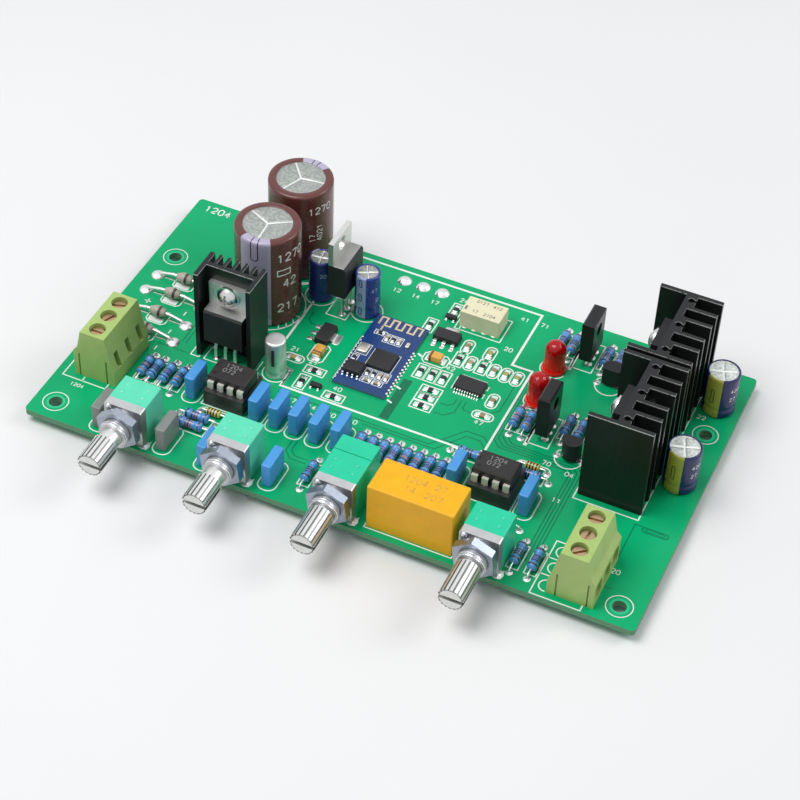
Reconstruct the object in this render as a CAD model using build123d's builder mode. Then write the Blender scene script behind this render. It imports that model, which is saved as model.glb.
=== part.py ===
# Tone control preamplifier board, 150 mm long, with four potentiometers along its front edge.
#
# Frame, in mm: origin at the centre of the four corner holes, on the board's underside.
# +X runs to the right along the front edge, +Y to the back, +Z up through the board.
# The potentiometer shafts point to -Y.

from build123d import *
import os

os.makedirs("parts", exist_ok=True)

# Board
board_length = 150.0
board_depth = 85.5
board_thickness = 1.6
board_corner = 1.0
hole_radius = 1.6
hole_side_inset = 5.3
hole_front_inset = 5.2
hole_back_inset = 23.1
hole_spacing_x = board_length - 2 * hole_side_inset
hole_spacing_y = board_depth - hole_front_inset - hole_back_inset
top = board_thickness

# Leads: how far they stand below the board, and the play in their drilled holes
lead_below = 2.0
trim_lead_below = 1.6
lead_play = 0.1
lead_start = 0.5
solder_play = 0.02

# Screw terminals
pitch = 5.08
poles = 3
terminal_height = 13.9
terminal_end_wall = 0.5
terminal_width = poles * pitch + terminal_end_wall
terminal_top_rear = 3.2
terminal_top_front = 3.15
terminal_rear = 5.4
terminal_rear_height = 4.2
terminal_waist = 4.6
terminal_waist_height = 7.0
terminal_shoulder = 4.15
terminal_shoulder_height = 8.8
terminal_lip = 5.35
terminal_lip_height = 7.4
screw_well_radius = 1.95
wire_entry_width = 3.9
wire_entry_height = 4.6
wire_entry_sill = 1.6
wire_entry_corner = 1.4
test_slot_width = 1.6
test_slot_height = 4.6
test_slot_low = 3.9
groove_width = 0.4
groove_depth = 0.5
groove_height = 7.0
groove_front = 3.9
groove_rear = 3.3

# Rising clamp of one pole
cage_width = 3.9
cage_length = 3.8
cage_height = 5.7
cage_wall = 0.45
cage_floor = 0.7
cage_roof = 1.4
cage_rest = 1.3
cage_travel = 2.5
cage_play = 0.15
shaft_drop = 0.2
seat_thickness = 0.6
bar_play = 0.1
leg_play = 0.05
screw_end_play = 0.15
head_chamfer = 0.2
slot_turns = (0, 65, 20, 40, 85, 5)
bar_thickness = 0.6
bar_width = 1.8
leg_thickness = 0.6
leg_width = 1.0
screw_shank_radius = 1.2
screw_thread_play = 0.05
screw_head_radius = 1.8
screw_head_height = 2.7
screw_slot_width = 0.6
screw_slot_depth = 0.7

# Potentiometers
pot_width = 9.5
pot_height = 10.9
pot_axis_height = 6.4
plate_front = 0.95
plate_thickness = 2.2
pot_back = 10.5
twin_pot_back = 15.7
pot_edge = 0.5
bushing_radius = 3.5
bushing_bore_radius = 2.5
bushing_length = 5.0
bushing_relief = 0.25
relief_length = 0.5
nut_stand_off = 1.1
nut_across_flats = 9.3
nut_thickness = 2.1
nut_play = 0.05
shaft_radius = 3.0
shaft_neck_radius = 2.45
shaft_tip = 14.1
shaft_slot_width = 1.0
shaft_slot_depth = 6.5
shaft_teeth = 18
tooth_depth = 0.3
tooth_gap = 0.42
long_knurl = 9.4
short_knurl = 7.2
rotor_radius = 3.9
rotor_thickness = 1.8
rotor_play = 0.2
pot_pin_width = 0.8
pot_pin_thickness = 0.4
pot_pin_pitch = 2.5
pot_pin_root = 1.2
pot_lug_width = 1.8
pot_lug_thickness = 0.6
gang_seam = 0.25
dimple_radius = 0.35
dimple_depth = 0.15
dimple_places = ((-2.6, 2.4), (2.6, 2.4), (-2.6, 5.0), (2.6, 5.0))
gang_seam_shift = 1.6
first_pin_row = 2.2
second_pin_row = 7.4
bushing_chamfer = 0.3
nut_turn = 37

# Relays
big_relay_length = 20.6
big_relay_width = 9.8
big_relay_height = 12.6
small_relay_length = 10.2
small_relay_width = 6.2
small_relay_height = 4.9
relay_edge = 0.4
relay_pin_radius = 0.3
big_relay_place = (96.4, 7.05)
big_relay_pins = (88.3, 91.8, 95.3, 102.9)
big_relay_row = 3.81
small_relay_place = (83.9, 74.1)
small_relay_pins = (80.1, 82.6, 85.2, 87.7)
small_relay_row = 2.54

# Eight-pin amplifier chips and their sockets
chip_length = 9.6
chip_width = 6.35
chip_thickness = 3.2
chip_pin_pitch = 2.54
chip_pins_a_side = 4
row_spacing = 7.62
shoulder_width = 1.5
leg_tip_width = 0.5
leg_metal = 0.3
socket_length = 10.2
socket_width = 10.2
socket_height = 4.2
socket_rail = 2.6
socket_bridge = 1.6
socket_slot_depth = 2.6
socket_pin_radius = 0.28
chip_standoff = 0.5

# Cans, from the biggest to the smallest: radius and height
filter_can = (8.0, 26.2)
output_can = (4.0, 12.0)
striped_can = (3.15, 13.0)
navy_can = (3.15, 12.5)
silver_can = (2.5, 11.0)
can_bead_height = 2.6
can_bead_share = 0.045
can_edge_share = 0.09
can_lip_share = 0.24
can_lip = 0.35
can_lead_radius = 0.3

# Film capacitors
film_thickness = 2.5
film_length = 7.2
film_height = 6.5
film_pitch = 5.0
film_edge = 0.25

# Resistors, chokes and diodes; a size is a body's length, end radius and waist radius
resistor_size = (6.3, 1.2, 0.98)
resistor_end_length = 1.5
resistor_pad_spacing = 10.0
resistor_lead_radius = 0.27
resistor_lift = 1.3
choke_size = (3.6, 0.92, 0.92)
choke_end_length = 1.0
choke_pad_spacing = 7.0
choke_lift = 1.1
diode_size = (4.4, 1.0, 1.4)
diode_end_length = 1.3
diode_pad_spacing = 15.0
diode_lead_radius = 0.4
diode_lift = 1.9
diode_sag = 1.3

# Tab packages
tab_width = 10.0
tab_thickness = 1.3
tab_height = 15.7
tab_body_height = 9.2
tab_body_thickness = 4.5
tab_upper_thickness = 2.8
tab_hole_radius = 1.8
tab_hole_drop = 2.9
tab_lead_pitch = 2.54
tab_lead_width = 0.8
tab_lead_shoulder = 1.3
tab_lead_metal = 0.5
tab_lead_setback = 2.5
tab_bottom = 5.8
free_tab_bottom = 7.5
regulator_screw_head_radius = 2.65
regulator_screw_head_height = 1.9
washer_radius = 3.1
washer_thickness = 0.45
screw_recess = 3.0
regulator_screw_radius = 1.5
screw_thread_bite = 4.0

# Flat and round transistors
flat_width = 8.0
flat_thickness = 3.1
flat_height = 11.5
flat_bottom = 2.2
flat_lead_pitch = 2.3
flat_lead_radius = 0.35
flat_setback = 0.6
flat_chamfer = 0.4
flat_hole_radius = 1.6
flat_hole_drop = 3.8
round_radius = 2.3
round_flat = 1.3
round_height = 4.8
round_bottom = 0.7
round_lead_pitch = 1.3

# Heatsinks
sink_height = 25.4
small_sink_width = 14.6
small_sink_depth = 8.8
small_sink_wall = 1.1
small_sink_plate = 1.1
small_sink_plate_front = 4.4
small_sink_fins = 5
small_sink_fin = 0.7
big_sink_width = 15.2
big_sink_depth = 23.2
big_sink_wall = 1.0
big_sink_spine = 1.5
big_sink_spine_left = 6.5
big_sink_boss = 1.3
big_sink_fin = 0.9
big_sink_fin_places = (-6.4, -2.5, 2.5, 6.4)
keyhole_places = (-9.0, 0.0, 9.0)
keyhole_radius = 0.85
keyhole_mouth = 0.9
sink_pin_radius = 0.75

# Red lamps
lamp_radius = 2.5
lamp_height = 8.8
lamp_flange_radius = 2.9
lamp_flange = 1.0
lamp_lead_pitch = 2.54

# Wireless module
module_length = 26.0
module_width = 13.4
module_thickness = 0.8
module_left = 59.8
module_front = 39.5
edge_contacts = 13
first_edge_contact = 1.6
edge_contact_pitch = 1.27
edge_contact_radius = 0.3

# Input pads
first_input_pad = (60.2, 80.0)
input_pitch = 5.1
solder_pin_radius = 0.5
solder_pin_below = 0.6
solder_dome_radius = 1.8
solder_dome_height = 0.9

lead_radius = 0.3
thin_lead_radius = 0.25

drilled = []


def spot(x, y, z=top):
    """A place on the board, x from its left edge and y from its front edge."""
    return (x - board_length / 2, y - hole_front_inset - hole_spacing_y / 2, z)


def drill(x, y, radius):
    """Notes a drilled hole with its play, and gives the place of the lead in it."""
    drilled.append((x, y, radius + lead_play))
    return spot(x, y)


def lead(x, y, radius=lead_radius, start=lead_start, below=lead_below):
    """A round lead from start above the board, through its own hole, to its cut end."""
    place = drill(x, y, radius)
    length = start + board_thickness + below
    with Locations((place[0], place[1], top + start)):
        Cylinder(radius, length, align=(Align.CENTER, Align.CENTER, Align.MAX))


def block(x, y, z, length, width, height):
    """A box that stands with its underside z above the board."""
    with Locations(spot(x, y, top + z)):
        Box(length, width, height, align=(Align.CENTER, Align.CENTER, Align.MIN))


def save(part, name):
    """Labels a finished piece and writes it."""
    part.label = name
    export_step(part, f"parts/{name}.step")


# Left and right screw terminals. A terminal's own plane has x towards its wire side, y up
# and its origin on the board below the middle screw.
left_terminal = (9.8, 23.4, -1)
right_terminal = (134.4, 9.75, 1)
cavity_front = cage_length / 2 + cage_play
cavity_rear = cavity_front
cavity_low = cage_rest - shaft_drop
cavity_high = cage_rest + cage_height + cage_travel + cage_play
screw_seat = cavity_high + seat_thickness
bar_high = cage_rest + cage_height - cage_roof - bar_play
bar_low = bar_high - bar_thickness
leg_back = cavity_rear + leg_thickness + 2 * leg_play


def terminal_plane(terminal, pole=None):
    """The upright plane across a terminal, at its middle or at one of its poles."""
    x, y, side = terminal
    shift = 0 if pole is None else (pole - (poles - 1) / 2) * pitch
    return Plane(origin=spot(x, y + shift), x_dir=(side, 0, 0), z_dir=(0, -side, 0))


def make_housing(terminal):
    """One terminal housing with its screw wells, cage shafts, wire entries and test slots."""
    x, y, side = terminal
    with BuildPart() as housing:
        with BuildSketch(terminal_plane(terminal)):
            with BuildLine():
                Polyline(
                    (-terminal_rear, 0),
                    (terminal_lip, 0),
                    (terminal_lip, terminal_lip_height),
                    (terminal_shoulder, terminal_shoulder_height),
                    (terminal_top_front, terminal_height),
                    (-terminal_top_rear, terminal_height),
                    (-terminal_waist, terminal_waist_height),
                    (-terminal_rear, terminal_rear_height),
                    close=True,
                )
            make_face()
        extrude(amount=terminal_width / 2, both=True)
        for pole in range(poles):
            plane = terminal_plane(terminal, pole)
            with BuildSketch(plane):
                with Locations(((cavity_front - leg_back) / 2, (cavity_low + cavity_high) / 2)):
                    Rectangle(cavity_front + leg_back, cavity_high - cavity_low)
            extrude(amount=leg_width / 2 + 2 * leg_play, both=True, mode=Mode.SUBTRACT)
            with BuildSketch(plane):
                with Locations((0, (cavity_low + cavity_high) / 2)):
                    Rectangle(2 * cavity_front, cavity_high - cavity_low)
            extrude(amount=cage_width / 2 + cage_play, both=True, mode=Mode.SUBTRACT)
            with BuildSketch(plane):
                with Locations((-(cavity_rear + terminal_rear) / 2, test_slot_low + test_slot_height / 2)):
                    Rectangle(terminal_rear - cavity_rear, test_slot_height)
            extrude(amount=test_slot_width / 2, both=True, mode=Mode.SUBTRACT)
            entry_middle = wire_entry_sill + wire_entry_height / 2
            face_plane = Plane(
                origin=plane.from_local_coords((terminal_lip, entry_middle, 0)),
                x_dir=(0, side, 0),
                z_dir=(side, 0, 0),
            )
            with BuildSketch(face_plane):
                RectangleRounded(wire_entry_width, wire_entry_height, wire_entry_corner)
            extrude(amount=-(terminal_lip - cavity_front), mode=Mode.SUBTRACT)
            screw_x, screw_y, _ = plane.origin
            with Locations((screw_x, screw_y, top + screw_seat)):
                Cylinder(
                    screw_well_radius,
                    terminal_height - screw_seat,
                    align=(Align.CENTER, Align.CENTER, Align.MIN),
                    mode=Mode.SUBTRACT,
                )
            with Locations((screw_x, screw_y, top + cavity_high)):
                Cylinder(
                    screw_shank_radius + cage_play,
                    screw_seat - cavity_high,
                    align=(Align.CENTER, Align.CENTER, Align.MIN),
                    mode=Mode.SUBTRACT,
                )
            leg_x, leg_y, _ = plane.from_local_coords((-(cavity_rear + leg_play + leg_thickness / 2), 0, 0))
            with Locations((leg_x, leg_y, top)):
                Box(
                    leg_thickness + 2 * leg_play,
                    leg_width + 2 * leg_play,
                    cavity_low,
                    align=(Align.CENTER, Align.CENTER, Align.MIN),
                    mode=Mode.SUBTRACT,
                )
        for along in (groove_front, -groove_rear):
            groove_x, _, _ = terminal_plane(terminal).from_local_coords((along, 0, 0))
            groove_y = spot(x, y - terminal_width / 2)[1]
            with Locations((groove_x, groove_y, top)):
                Box(
                    groove_width,
                    2 * groove_depth,
                    groove_height,
                    align=(Align.CENTER, Align.CENTER, Align.MIN),
                    mode=Mode.SUBTRACT,
                )
    return housing.part


save(make_housing(left_terminal), "left_terminal_housing")
save(make_housing(right_terminal), "right_terminal_housing")

terminal_poles = [(terminal, pole) for terminal in (left_terminal, right_terminal) for pole in range(poles)]

# A contact is one bent strip: a bar through the cage, a leg down behind it and a solder pin.
with BuildPart() as terminal_contacts:
    for terminal, pole in terminal_poles:
        plane = terminal_plane(terminal, pole)
        bar_end = cage_length / 2 - bar_play
        leg_rear = cavity_rear + leg_play + leg_thickness
        leg_front = leg_rear - leg_thickness
        with BuildSketch(plane):
            with Locations(((bar_end - leg_rear) / 2, (bar_low + bar_high) / 2)):
                Rectangle(bar_end + leg_rear, bar_thickness)
        extrude(amount=leg_width / 2, both=True)
        with BuildSketch(plane):
            with Locations((0, (bar_low + bar_high) / 2)):
                Rectangle(2 * bar_end, bar_thickness)
        extrude(amount=bar_width / 2, both=True)
        leg_bottom = -board_thickness - lead_below
        with BuildSketch(plane):
            with Locations((-(leg_rear + leg_front) / 2, (bar_high + leg_bottom) / 2)):
                Rectangle(leg_thickness, bar_high - leg_bottom)
        extrude(amount=leg_width / 2, both=True)
        leg_x, leg_y, _ = plane.from_local_coords((-(leg_rear + leg_front) / 2, 0, 0))
        board_x = leg_x + board_length / 2
        board_y = leg_y + hole_front_inset + hole_spacing_y / 2
        drill(board_x, board_y, ((leg_thickness / 2) ** 2 + (leg_width / 2) ** 2) ** 0.5)
save(terminal_contacts.part, "terminal_contacts")

for number, (terminal, pole) in enumerate(terminal_poles, start=1):
    screw_x, screw_y, _ = terminal_plane(terminal, pole).origin
    screw_bottom = bar_high + screw_end_play
    with BuildPart() as screw:
        with Locations((screw_x, screw_y, top + screw_seat)):
            Cylinder(screw_head_radius, screw_head_height, align=(Align.CENTER, Align.CENTER, Align.MIN))
        chamfer(screw.edges().group_by(Axis.Z)[-1], head_chamfer)
        with Locations((screw_x, screw_y, top + screw_bottom)):
            Cylinder(
                screw_shank_radius,
                screw_seat - screw_bottom,
                align=(Align.CENTER, Align.CENTER, Align.MIN),
            )
        head_top = (screw_x, screw_y, top + screw_seat + screw_head_height)
        with Locations(Location(head_top, (0, 0, slot_turns[number - 1]))):
            Box(
                3 * screw_head_radius,
                screw_slot_width,
                2 * screw_slot_depth,
                mode=Mode.SUBTRACT,
            )
    save(screw.part, f"terminal_screw_{number}")

    with BuildPart() as cage:
        with Locations((screw_x, screw_y, top + cage_rest)):
            Box(cage_length, cage_width, cage_height, align=(Align.CENTER, Align.CENTER, Align.MIN))
        with Locations((screw_x, screw_y, top + cage_rest + cage_floor)):
            Box(
                2 * cage_length,
                cage_width - 2 * cage_wall,
                cage_height - cage_floor - cage_roof,
                align=(Align.CENTER, Align.CENTER, Align.MIN),
                mode=Mode.SUBTRACT,
            )
        with Locations((screw_x, screw_y, top + cage_rest + cage_height - cage_roof)):
            Cylinder(
                screw_shank_radius + screw_thread_play,
                cage_roof,
                align=(Align.CENTER, Align.CENTER, Align.MIN),
                mode=Mode.SUBTRACT,
            )
    save(cage.part, f"clamp_cage_{number}")


# Potentiometers, from left to right: centre from the left edge, back face, knurl length.
pots = (
    (26.1, pot_back, short_knurl),
    (52.3, pot_back, short_knurl),
    (78.5, twin_pot_back, long_knurl),
    (113.3, pot_back, long_knurl),
)
plate_back = plate_front + plate_thickness
nut_back = plate_front - nut_stand_off
rotor_cavity_depth = rotor_thickness + 2 * rotor_play


def pot_plane(x, y):
    """The upright plane across a potentiometer's axis, facing the front, at y from the front edge."""
    return Plane(origin=spot(x, y, top + pot_axis_height), x_dir=(1, 0, 0), z_dir=(0, -1, 0))


pot_pin_places = []
for x, back, _ in pots:
    rows = (first_pin_row, second_pin_row) if back > pot_back else (first_pin_row,)
    pot_pin_places += [(x + step * pot_pin_pitch, plate_back + row) for row in rows for step in (-1, 0, 1)]

for number, (x, back, knurl) in enumerate(pots, start=1):
    with BuildPart() as housing:
        with BuildSketch(Plane.XY.offset(top)):
            with Locations(spot(x, (plate_back + back) / 2)[:2]):
                Rectangle(pot_width, back - plate_back)
        extrude(amount=pot_height)
        upper_edges = housing.edges().filter_by(Axis.Y).group_by(Axis.Z)[-1]
        fillet(upper_edges, pot_edge)
        with BuildSketch(pot_plane(x, plate_back)):
            Circle(rotor_radius + rotor_play)
        extrude(amount=-rotor_cavity_depth, mode=Mode.SUBTRACT)
        if back > pot_back:
            with Locations(spot(x, (plate_back + back) / 2 + gang_seam_shift, top + pot_height)):
                Box(2 * pot_width, gang_seam, 2 * gang_seam, mode=Mode.SUBTRACT)
        with Locations([spot(x + dx, plate_back + dy, top + pot_height) for dx, dy in dimple_places]):
            Cylinder(dimple_radius, 2 * dimple_depth, mode=Mode.SUBTRACT)
        for pin_x, pin_y in pot_pin_places:
            if abs(pin_x - x) < pot_width / 2:
                with Locations(spot(pin_x, pin_y)):
                    Box(
                        pot_pin_width,
                        pot_pin_thickness,
                        pot_pin_root,
                        align=(Align.CENTER, Align.CENTER, Align.MIN),
                        mode=Mode.SUBTRACT,
                    )
    save(housing.part, f"pot_housing_{number}")

    # The front plate and its threaded bushing are one casting. The nut sits part of the way along
    # the thread, and the free end beyond it, past a narrow groove, goes through a panel.
    with BuildPart() as bushing:
        with BuildSketch(Plane.XY.offset(top)):
            with Locations(spot(x, (plate_front + plate_back) / 2)[:2]):
                Rectangle(pot_width, plate_thickness)
        extrude(amount=pot_height)
        fillet(bushing.edges().filter_by(Axis.Y).group_by(Axis.Z)[-1], pot_edge)
        with BuildSketch(pot_plane(x, plate_front)):
            Circle(bushing_radius)
        extrude(amount=bushing_length)
        with BuildSketch(pot_plane(x, nut_back - nut_thickness)):
            Circle(bushing_radius + nut_play)
            Circle(bushing_radius - bushing_relief, mode=Mode.SUBTRACT)
        extrude(amount=relief_length, mode=Mode.SUBTRACT)
        with BuildSketch(pot_plane(x, plate_back)):
            Circle(bushing_bore_radius)
        extrude(amount=plate_thickness + bushing_length, mode=Mode.SUBTRACT)
        tip_edges = bushing.edges().filter_by(GeomType.CIRCLE).group_by(Axis.Y)[0]
        chamfer(tip_edges.sort_by(SortBy.RADIUS)[-1], bushing_chamfer)
        for side in (-1, 1):
            lug_x = x + side * (pot_width / 2 - pot_lug_thickness / 2)
            lug_y = (plate_front + plate_back) / 2
            lug_place = drill(lug_x, lug_y, pot_lug_width / 2)
            with Locations((lug_place[0], lug_place[1], top + lead_start)):
                Box(
                    pot_lug_thickness,
                    pot_lug_width,
                    lead_start + board_thickness + lead_below,
                    align=(Align.CENTER, Align.CENTER, Align.MAX),
                )
    save(bushing.part, f"pot_bushing_{number}")

    # The rotor runs in the housing behind the plate and holds the shaft in.
    with BuildPart() as shaft:
        with BuildSketch(pot_plane(x, plate_back + rotor_play + rotor_thickness)):
            Circle(rotor_radius)
        extrude(amount=rotor_thickness)
        with BuildSketch(pot_plane(x, plate_back + rotor_play)):
            Circle(shaft_neck_radius)
        extrude(amount=rotor_play + plate_back + shaft_tip - knurl)
        with BuildSketch(pot_plane(x, -shaft_tip + knurl)):
            Circle(shaft_radius)
            with PolarLocations(shaft_radius, shaft_teeth):
                Rectangle(2 * tooth_depth, tooth_gap, mode=Mode.SUBTRACT)
        extrude(amount=knurl)
        with Locations(spot(x, -shaft_tip, top + pot_axis_height)):
            Box(2 * shaft_radius + 1, 2 * shaft_slot_depth, shaft_slot_width, mode=Mode.SUBTRACT)
    save(shaft.part, f"pot_shaft_{number}")

with BuildPart() as pot_pins:
    for pin_x, pin_y in pot_pin_places:
        place = drill(pin_x, pin_y, ((pot_pin_width / 2) ** 2 + (pot_pin_thickness / 2) ** 2) ** 0.5)
        with Locations((place[0], place[1], top + pot_pin_root)):
            Box(
                pot_pin_width,
                pot_pin_thickness,
                pot_pin_root + board_thickness + lead_below,
                align=(Align.CENTER, Align.CENTER, Align.MAX),
            )
save(pot_pins.part, "pot_pins")

with BuildPart() as pot_nuts:
    for x, _, _ in pots:
        with BuildSketch(pot_plane(x, nut_back)):
            RegularPolygon(nut_across_flats / 2, 6, major_radius=False, rotation=nut_turn)
            Circle(bushing_radius + nut_play, mode=Mode.SUBTRACT)
        extrude(amount=nut_thickness)
save(pot_nuts.part, "pot_nuts")

# Relays
with BuildPart() as changeover_relay:
    block(*big_relay_place, 0, big_relay_length, big_relay_width, big_relay_height)
    fillet(changeover_relay.edges().filter_by(GeomType.LINE).group_by(Axis.Z)[1:], relay_edge)
    for side in (-1, 1):
        for x in big_relay_pins:
            lead(x, big_relay_place[1] + side * big_relay_row, relay_pin_radius)
save(changeover_relay.part, "changeover_relay")

with BuildPart() as signal_relay:
    block(*small_relay_place, 0, small_relay_length, small_relay_width, small_relay_height)
    fillet(signal_relay.edges().filter_by(GeomType.LINE).group_by(Axis.Z)[1:], relay_edge / 2)
    for side in (-1, 1):
        for x in small_relay_pins:
            lead(x, small_relay_place[1] + side * small_relay_row, relay_pin_radius)
save(signal_relay.part, "signal_relay")

# Amplifier chips and their sockets. A chip's legs go down into slots in the socket's rails.
chip_places = ((41.2, 25.1), (107.5, 25.1))
chip_bottom = socket_height + chip_standoff
pin_steps = [(k - (chip_pins_a_side - 1) / 2) * chip_pin_pitch for k in range(chip_pins_a_side)]
shoulder_height = chip_bottom + chip_thickness / 2


def make_chip(x, y):
    """One chip: a moulded body with eight bent legs, all one piece."""
    with BuildPart() as chip:
        block(x, y, chip_bottom, chip_length, chip_width, chip_thickness)
        chamfer(chip.edges().group_by(Axis.Z)[-1], 0.35)
        for side in (-1, 1):
            row = y + side * row_spacing / 2
            for step in pin_steps:
                reach = (row_spacing - chip_width) / 2 + leg_metal / 2 + 0.2
                middle = y + side * (chip_width / 2 - 0.2 + reach / 2)
                block(x + step, middle, shoulder_height - leg_metal, shoulder_width, reach, leg_metal)
                low = socket_height + 0.1
                block(x + step, row, low, shoulder_width, leg_metal, shoulder_height - low)
                tip = socket_height - socket_slot_depth + 0.3
                block(x + step, row, tip, leg_tip_width, leg_metal, low - tip)
        with Locations(spot(x - chip_length / 2, y, top + chip_bottom + chip_thickness)):
            Cylinder(0.8, 0.6, mode=Mode.SUBTRACT)
    return chip.part


save(make_chip(*chip_places[0]), "left_amplifier_chip")
save(make_chip(*chip_places[1]), "right_amplifier_chip")

with BuildPart() as chip_sockets:
    for x, y in chip_places:
        block(x, y, 0, socket_length, socket_width, socket_height)
        with Locations(spot(x, y)):
            Box(
                socket_length - 2 * socket_bridge,
                socket_width - 2 * socket_rail,
                3 * socket_height,
                mode=Mode.SUBTRACT,
            )
        for side in (-1, 1):
            for step in pin_steps:
                row = y + side * row_spacing / 2
                with Locations(spot(x + step, row, top + socket_height - socket_slot_depth)):
                    Box(
                        leg_tip_width + 0.2,
                        leg_metal + 0.2,
                        socket_slot_depth,
                        align=(Align.CENTER, Align.CENTER, Align.MIN),
                        mode=Mode.SUBTRACT,
                    )
                lead(x + step, row, socket_pin_radius)
save(chip_sockets.part, "chip_sockets")


def can(x, y, size, pitch_of_leads):
    """A sealed can with a rolled bead near its foot and a sleeve lip around its top."""
    radius, height = size
    step = can_bead_share * radius
    edge = can_edge_share * radius
    lip = can_lip_share * radius
    with BuildSketch(Plane(origin=spot(x, y), x_dir=(1, 0, 0), z_dir=(0, -1, 0))) as profile:
        with BuildLine():
            Polyline(
                (0, 0),
                (radius, 0),
                (radius, can_bead_height - 1.5 * step),
                (radius - step, can_bead_height),
                (radius, can_bead_height + 1.5 * step),
                (radius, height - edge),
                (radius - 0.3 * edge, height - 0.3 * edge),
                (radius - edge, height),
                (radius - lip, height),
                (radius - lip - 0.1, height - can_lip),
                (0, height - can_lip),
                close=True,
            )
        make_face()
    revolve(profile.sketch, axis=Axis(spot(x, y), (0, 0, 1)))
    for side in (-0.5, 0.5):
        lead(x + side * pitch_of_leads, y, can_lead_radius)


def make_cans(places, size, pitch_of_leads):
    """A group of like cans as one node."""
    with BuildPart() as cans:
        for x, y in places:
            can(x, y, size, pitch_of_leads)
    return cans.part


filter_can_pitch = 7.5
output_can_pitch = 3.5
small_can_places = (
    (56.6, 65.6, striped_can, 2.5),
    (44.0, 66.0, navy_can, 2.5),
    (46.5, 36.5, silver_can, 2.0),
)
save(make_cans([(34.2, 57.0)], filter_can, filter_can_pitch), "front_filter_capacitor")
save(make_cans([(33.6, 75.7)], filter_can, filter_can_pitch), "rear_filter_capacitor")
save(make_cans([(144.2, 45.2), (144.3, 72.4)], output_can, output_can_pitch), "output_capacitors")
with BuildPart() as small_capacitors:
    for x, y, size, pitch_of_leads in small_can_places:
        can(x, y, size, pitch_of_leads)
save(small_capacitors.part, "small_capacitors")


def make_film(places):
    """A group of box film capacitors, each with two leads along Y."""
    with BuildPart() as films:
        for x, y in places:
            with BuildPart(mode=Mode.PRIVATE) as body:
                Box(film_thickness, film_length, film_height, align=(Align.CENTER, Align.CENTER, Align.MIN))
                fillet(body.edges().filter_by(Plane.XY, reverse=True).filter_by(Axis.Z), film_edge)
                fillet(body.edges().group_by(Axis.Z)[-1], film_edge)
            with Locations(spot(x, y)):
                add(body.part)
            for side in (-0.5, 0.5):
                lead(x, y + side * film_pitch, lead_radius, below=trim_lead_below)
    return films.part


blue_film_places = (
    (32.5, 23.3),
    (49.0, 23.3),
    (54.2, 23.3),
    (59.2, 23.3),
    (64.5, 23.0),
    (69.9, 23.3),
    (61.1, 6.4),
    (45.4, 5.3),
    (98.4, 23.8),
    (115.9, 23.6),
)
grey_film_places = ((18.15, 5.6), (34.6, 5.7))
save(make_film(blue_film_places), "film_capacitors")
save(make_film(grey_film_places), "grey_film_capacitors")


def axial(x, y, along_x, size, end_length, spacing, wire_radius, lift, sag=0):
    """A turned body above the board on a wire bent down at both ends, lower by sag at the bends."""
    body_length, body_radius, waist_radius = size
    direction = (1, 0, 0) if along_x else (0, 1, 0)
    plane = Plane(origin=spot(x, y, top + lift), x_dir=direction, z_dir=(0, 0, 1))
    half = body_length / 2
    with BuildSketch(plane) as profile:
        with BuildLine():
            Polyline(
                (-half, 0),
                (-half, 0.6 * body_radius),
                (-half + 0.3, body_radius),
                (-half + end_length - 0.4, body_radius),
                (-half + end_length, waist_radius),
                (half - end_length, waist_radius),
                (half - end_length + 0.4, body_radius),
                (half - 0.3, body_radius),
                (half, 0.6 * body_radius),
                (half, 0),
                close=True,
            )
        make_face()
    revolve(profile.sketch, axis=Axis(spot(x, y, top + lift), direction))
    wire_normal = Vector(direction).cross(Vector(0, 0, 1))
    wire_plane = Plane(origin=spot(x, y, top + lift), x_dir=direction, z_dir=wire_normal)
    bend = 2.2 * wire_radius
    foot = -lift - board_thickness - trim_lead_below
    reach = spacing / 2
    way = [(-reach, foot), (-reach, -sag), (reach, -sag), (reach, foot)]
    if sag:
        straight = half + 3 * wire_radius
        way[2:2] = [(-straight, 0), (straight, 0)]
    with BuildLine(wire_plane) as route:
        FilletPolyline(*way, radius=bend)
    with BuildSketch(Plane(origin=route.line @ 0, z_dir=route.line % 0)) as section:
        Circle(wire_radius)
    sweep(section.sketch, path=route.line)
    for side in (-1, 1):
        if along_x:
            drill(x + side * reach, y, wire_radius)
        else:
            drill(x, y + side * reach, wire_radius)


# Metal film resistors: centre and whether the body lies along X
resistor_places = [(x, 24.0, False) for x in (18.6, 21.2, 24.4, 27.6)]
resistor_places += [(74.3 + 2.87 * k, 23.4, False) for k in range(8)]
resistor_places += [(68.3, 10.4, False), (119.8, 8.6, False), (124.0, 8.6, False)]
resistor_places += [(x, y, False) for x in (103.7, 106.7) for y in (47.2, 76.2)]
resistor_places += [(115.4, 49.8, False), (118.6, 49.8, False), (115.4, 75.5, False), (118.6, 76.2, False)]
resistor_places += [(37.4, 14.5, True), (37.3, 11.5, True), (98.6, 31.6, True), (112.8, 31.6, True)]
resistor_places += [(112.3, 15.7, True)]

with BuildPart() as resistors:
    for x, y, along_x in resistor_places:
        axial(
            x,
            y,
            along_x,
            resistor_size,
            resistor_end_length,
            resistor_pad_spacing,
            resistor_lead_radius,
            resistor_lift,
        )
save(resistors.part, "resistors")

with BuildPart() as banded_chokes:
    for x, y in ((40.3, 17.3), (112.8, 34.3)):
        axial(
            x,
            y,
            True,
            choke_size,
            choke_end_length,
            choke_pad_spacing,
            resistor_lead_radius,
            choke_lift,
        )
save(banded_chokes.part, "banded_chokes")

with BuildPart() as rectifier_diodes:
    for y in (34.8, 41.2, 48.5, 54.5):
        axial(
            12.3,
            y,
            True,
            diode_size,
            diode_end_length,
            diode_pad_spacing,
            diode_lead_radius,
            diode_lift,
            diode_sag,
        )
save(rectifier_diodes.part, "rectifier_diodes")

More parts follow.
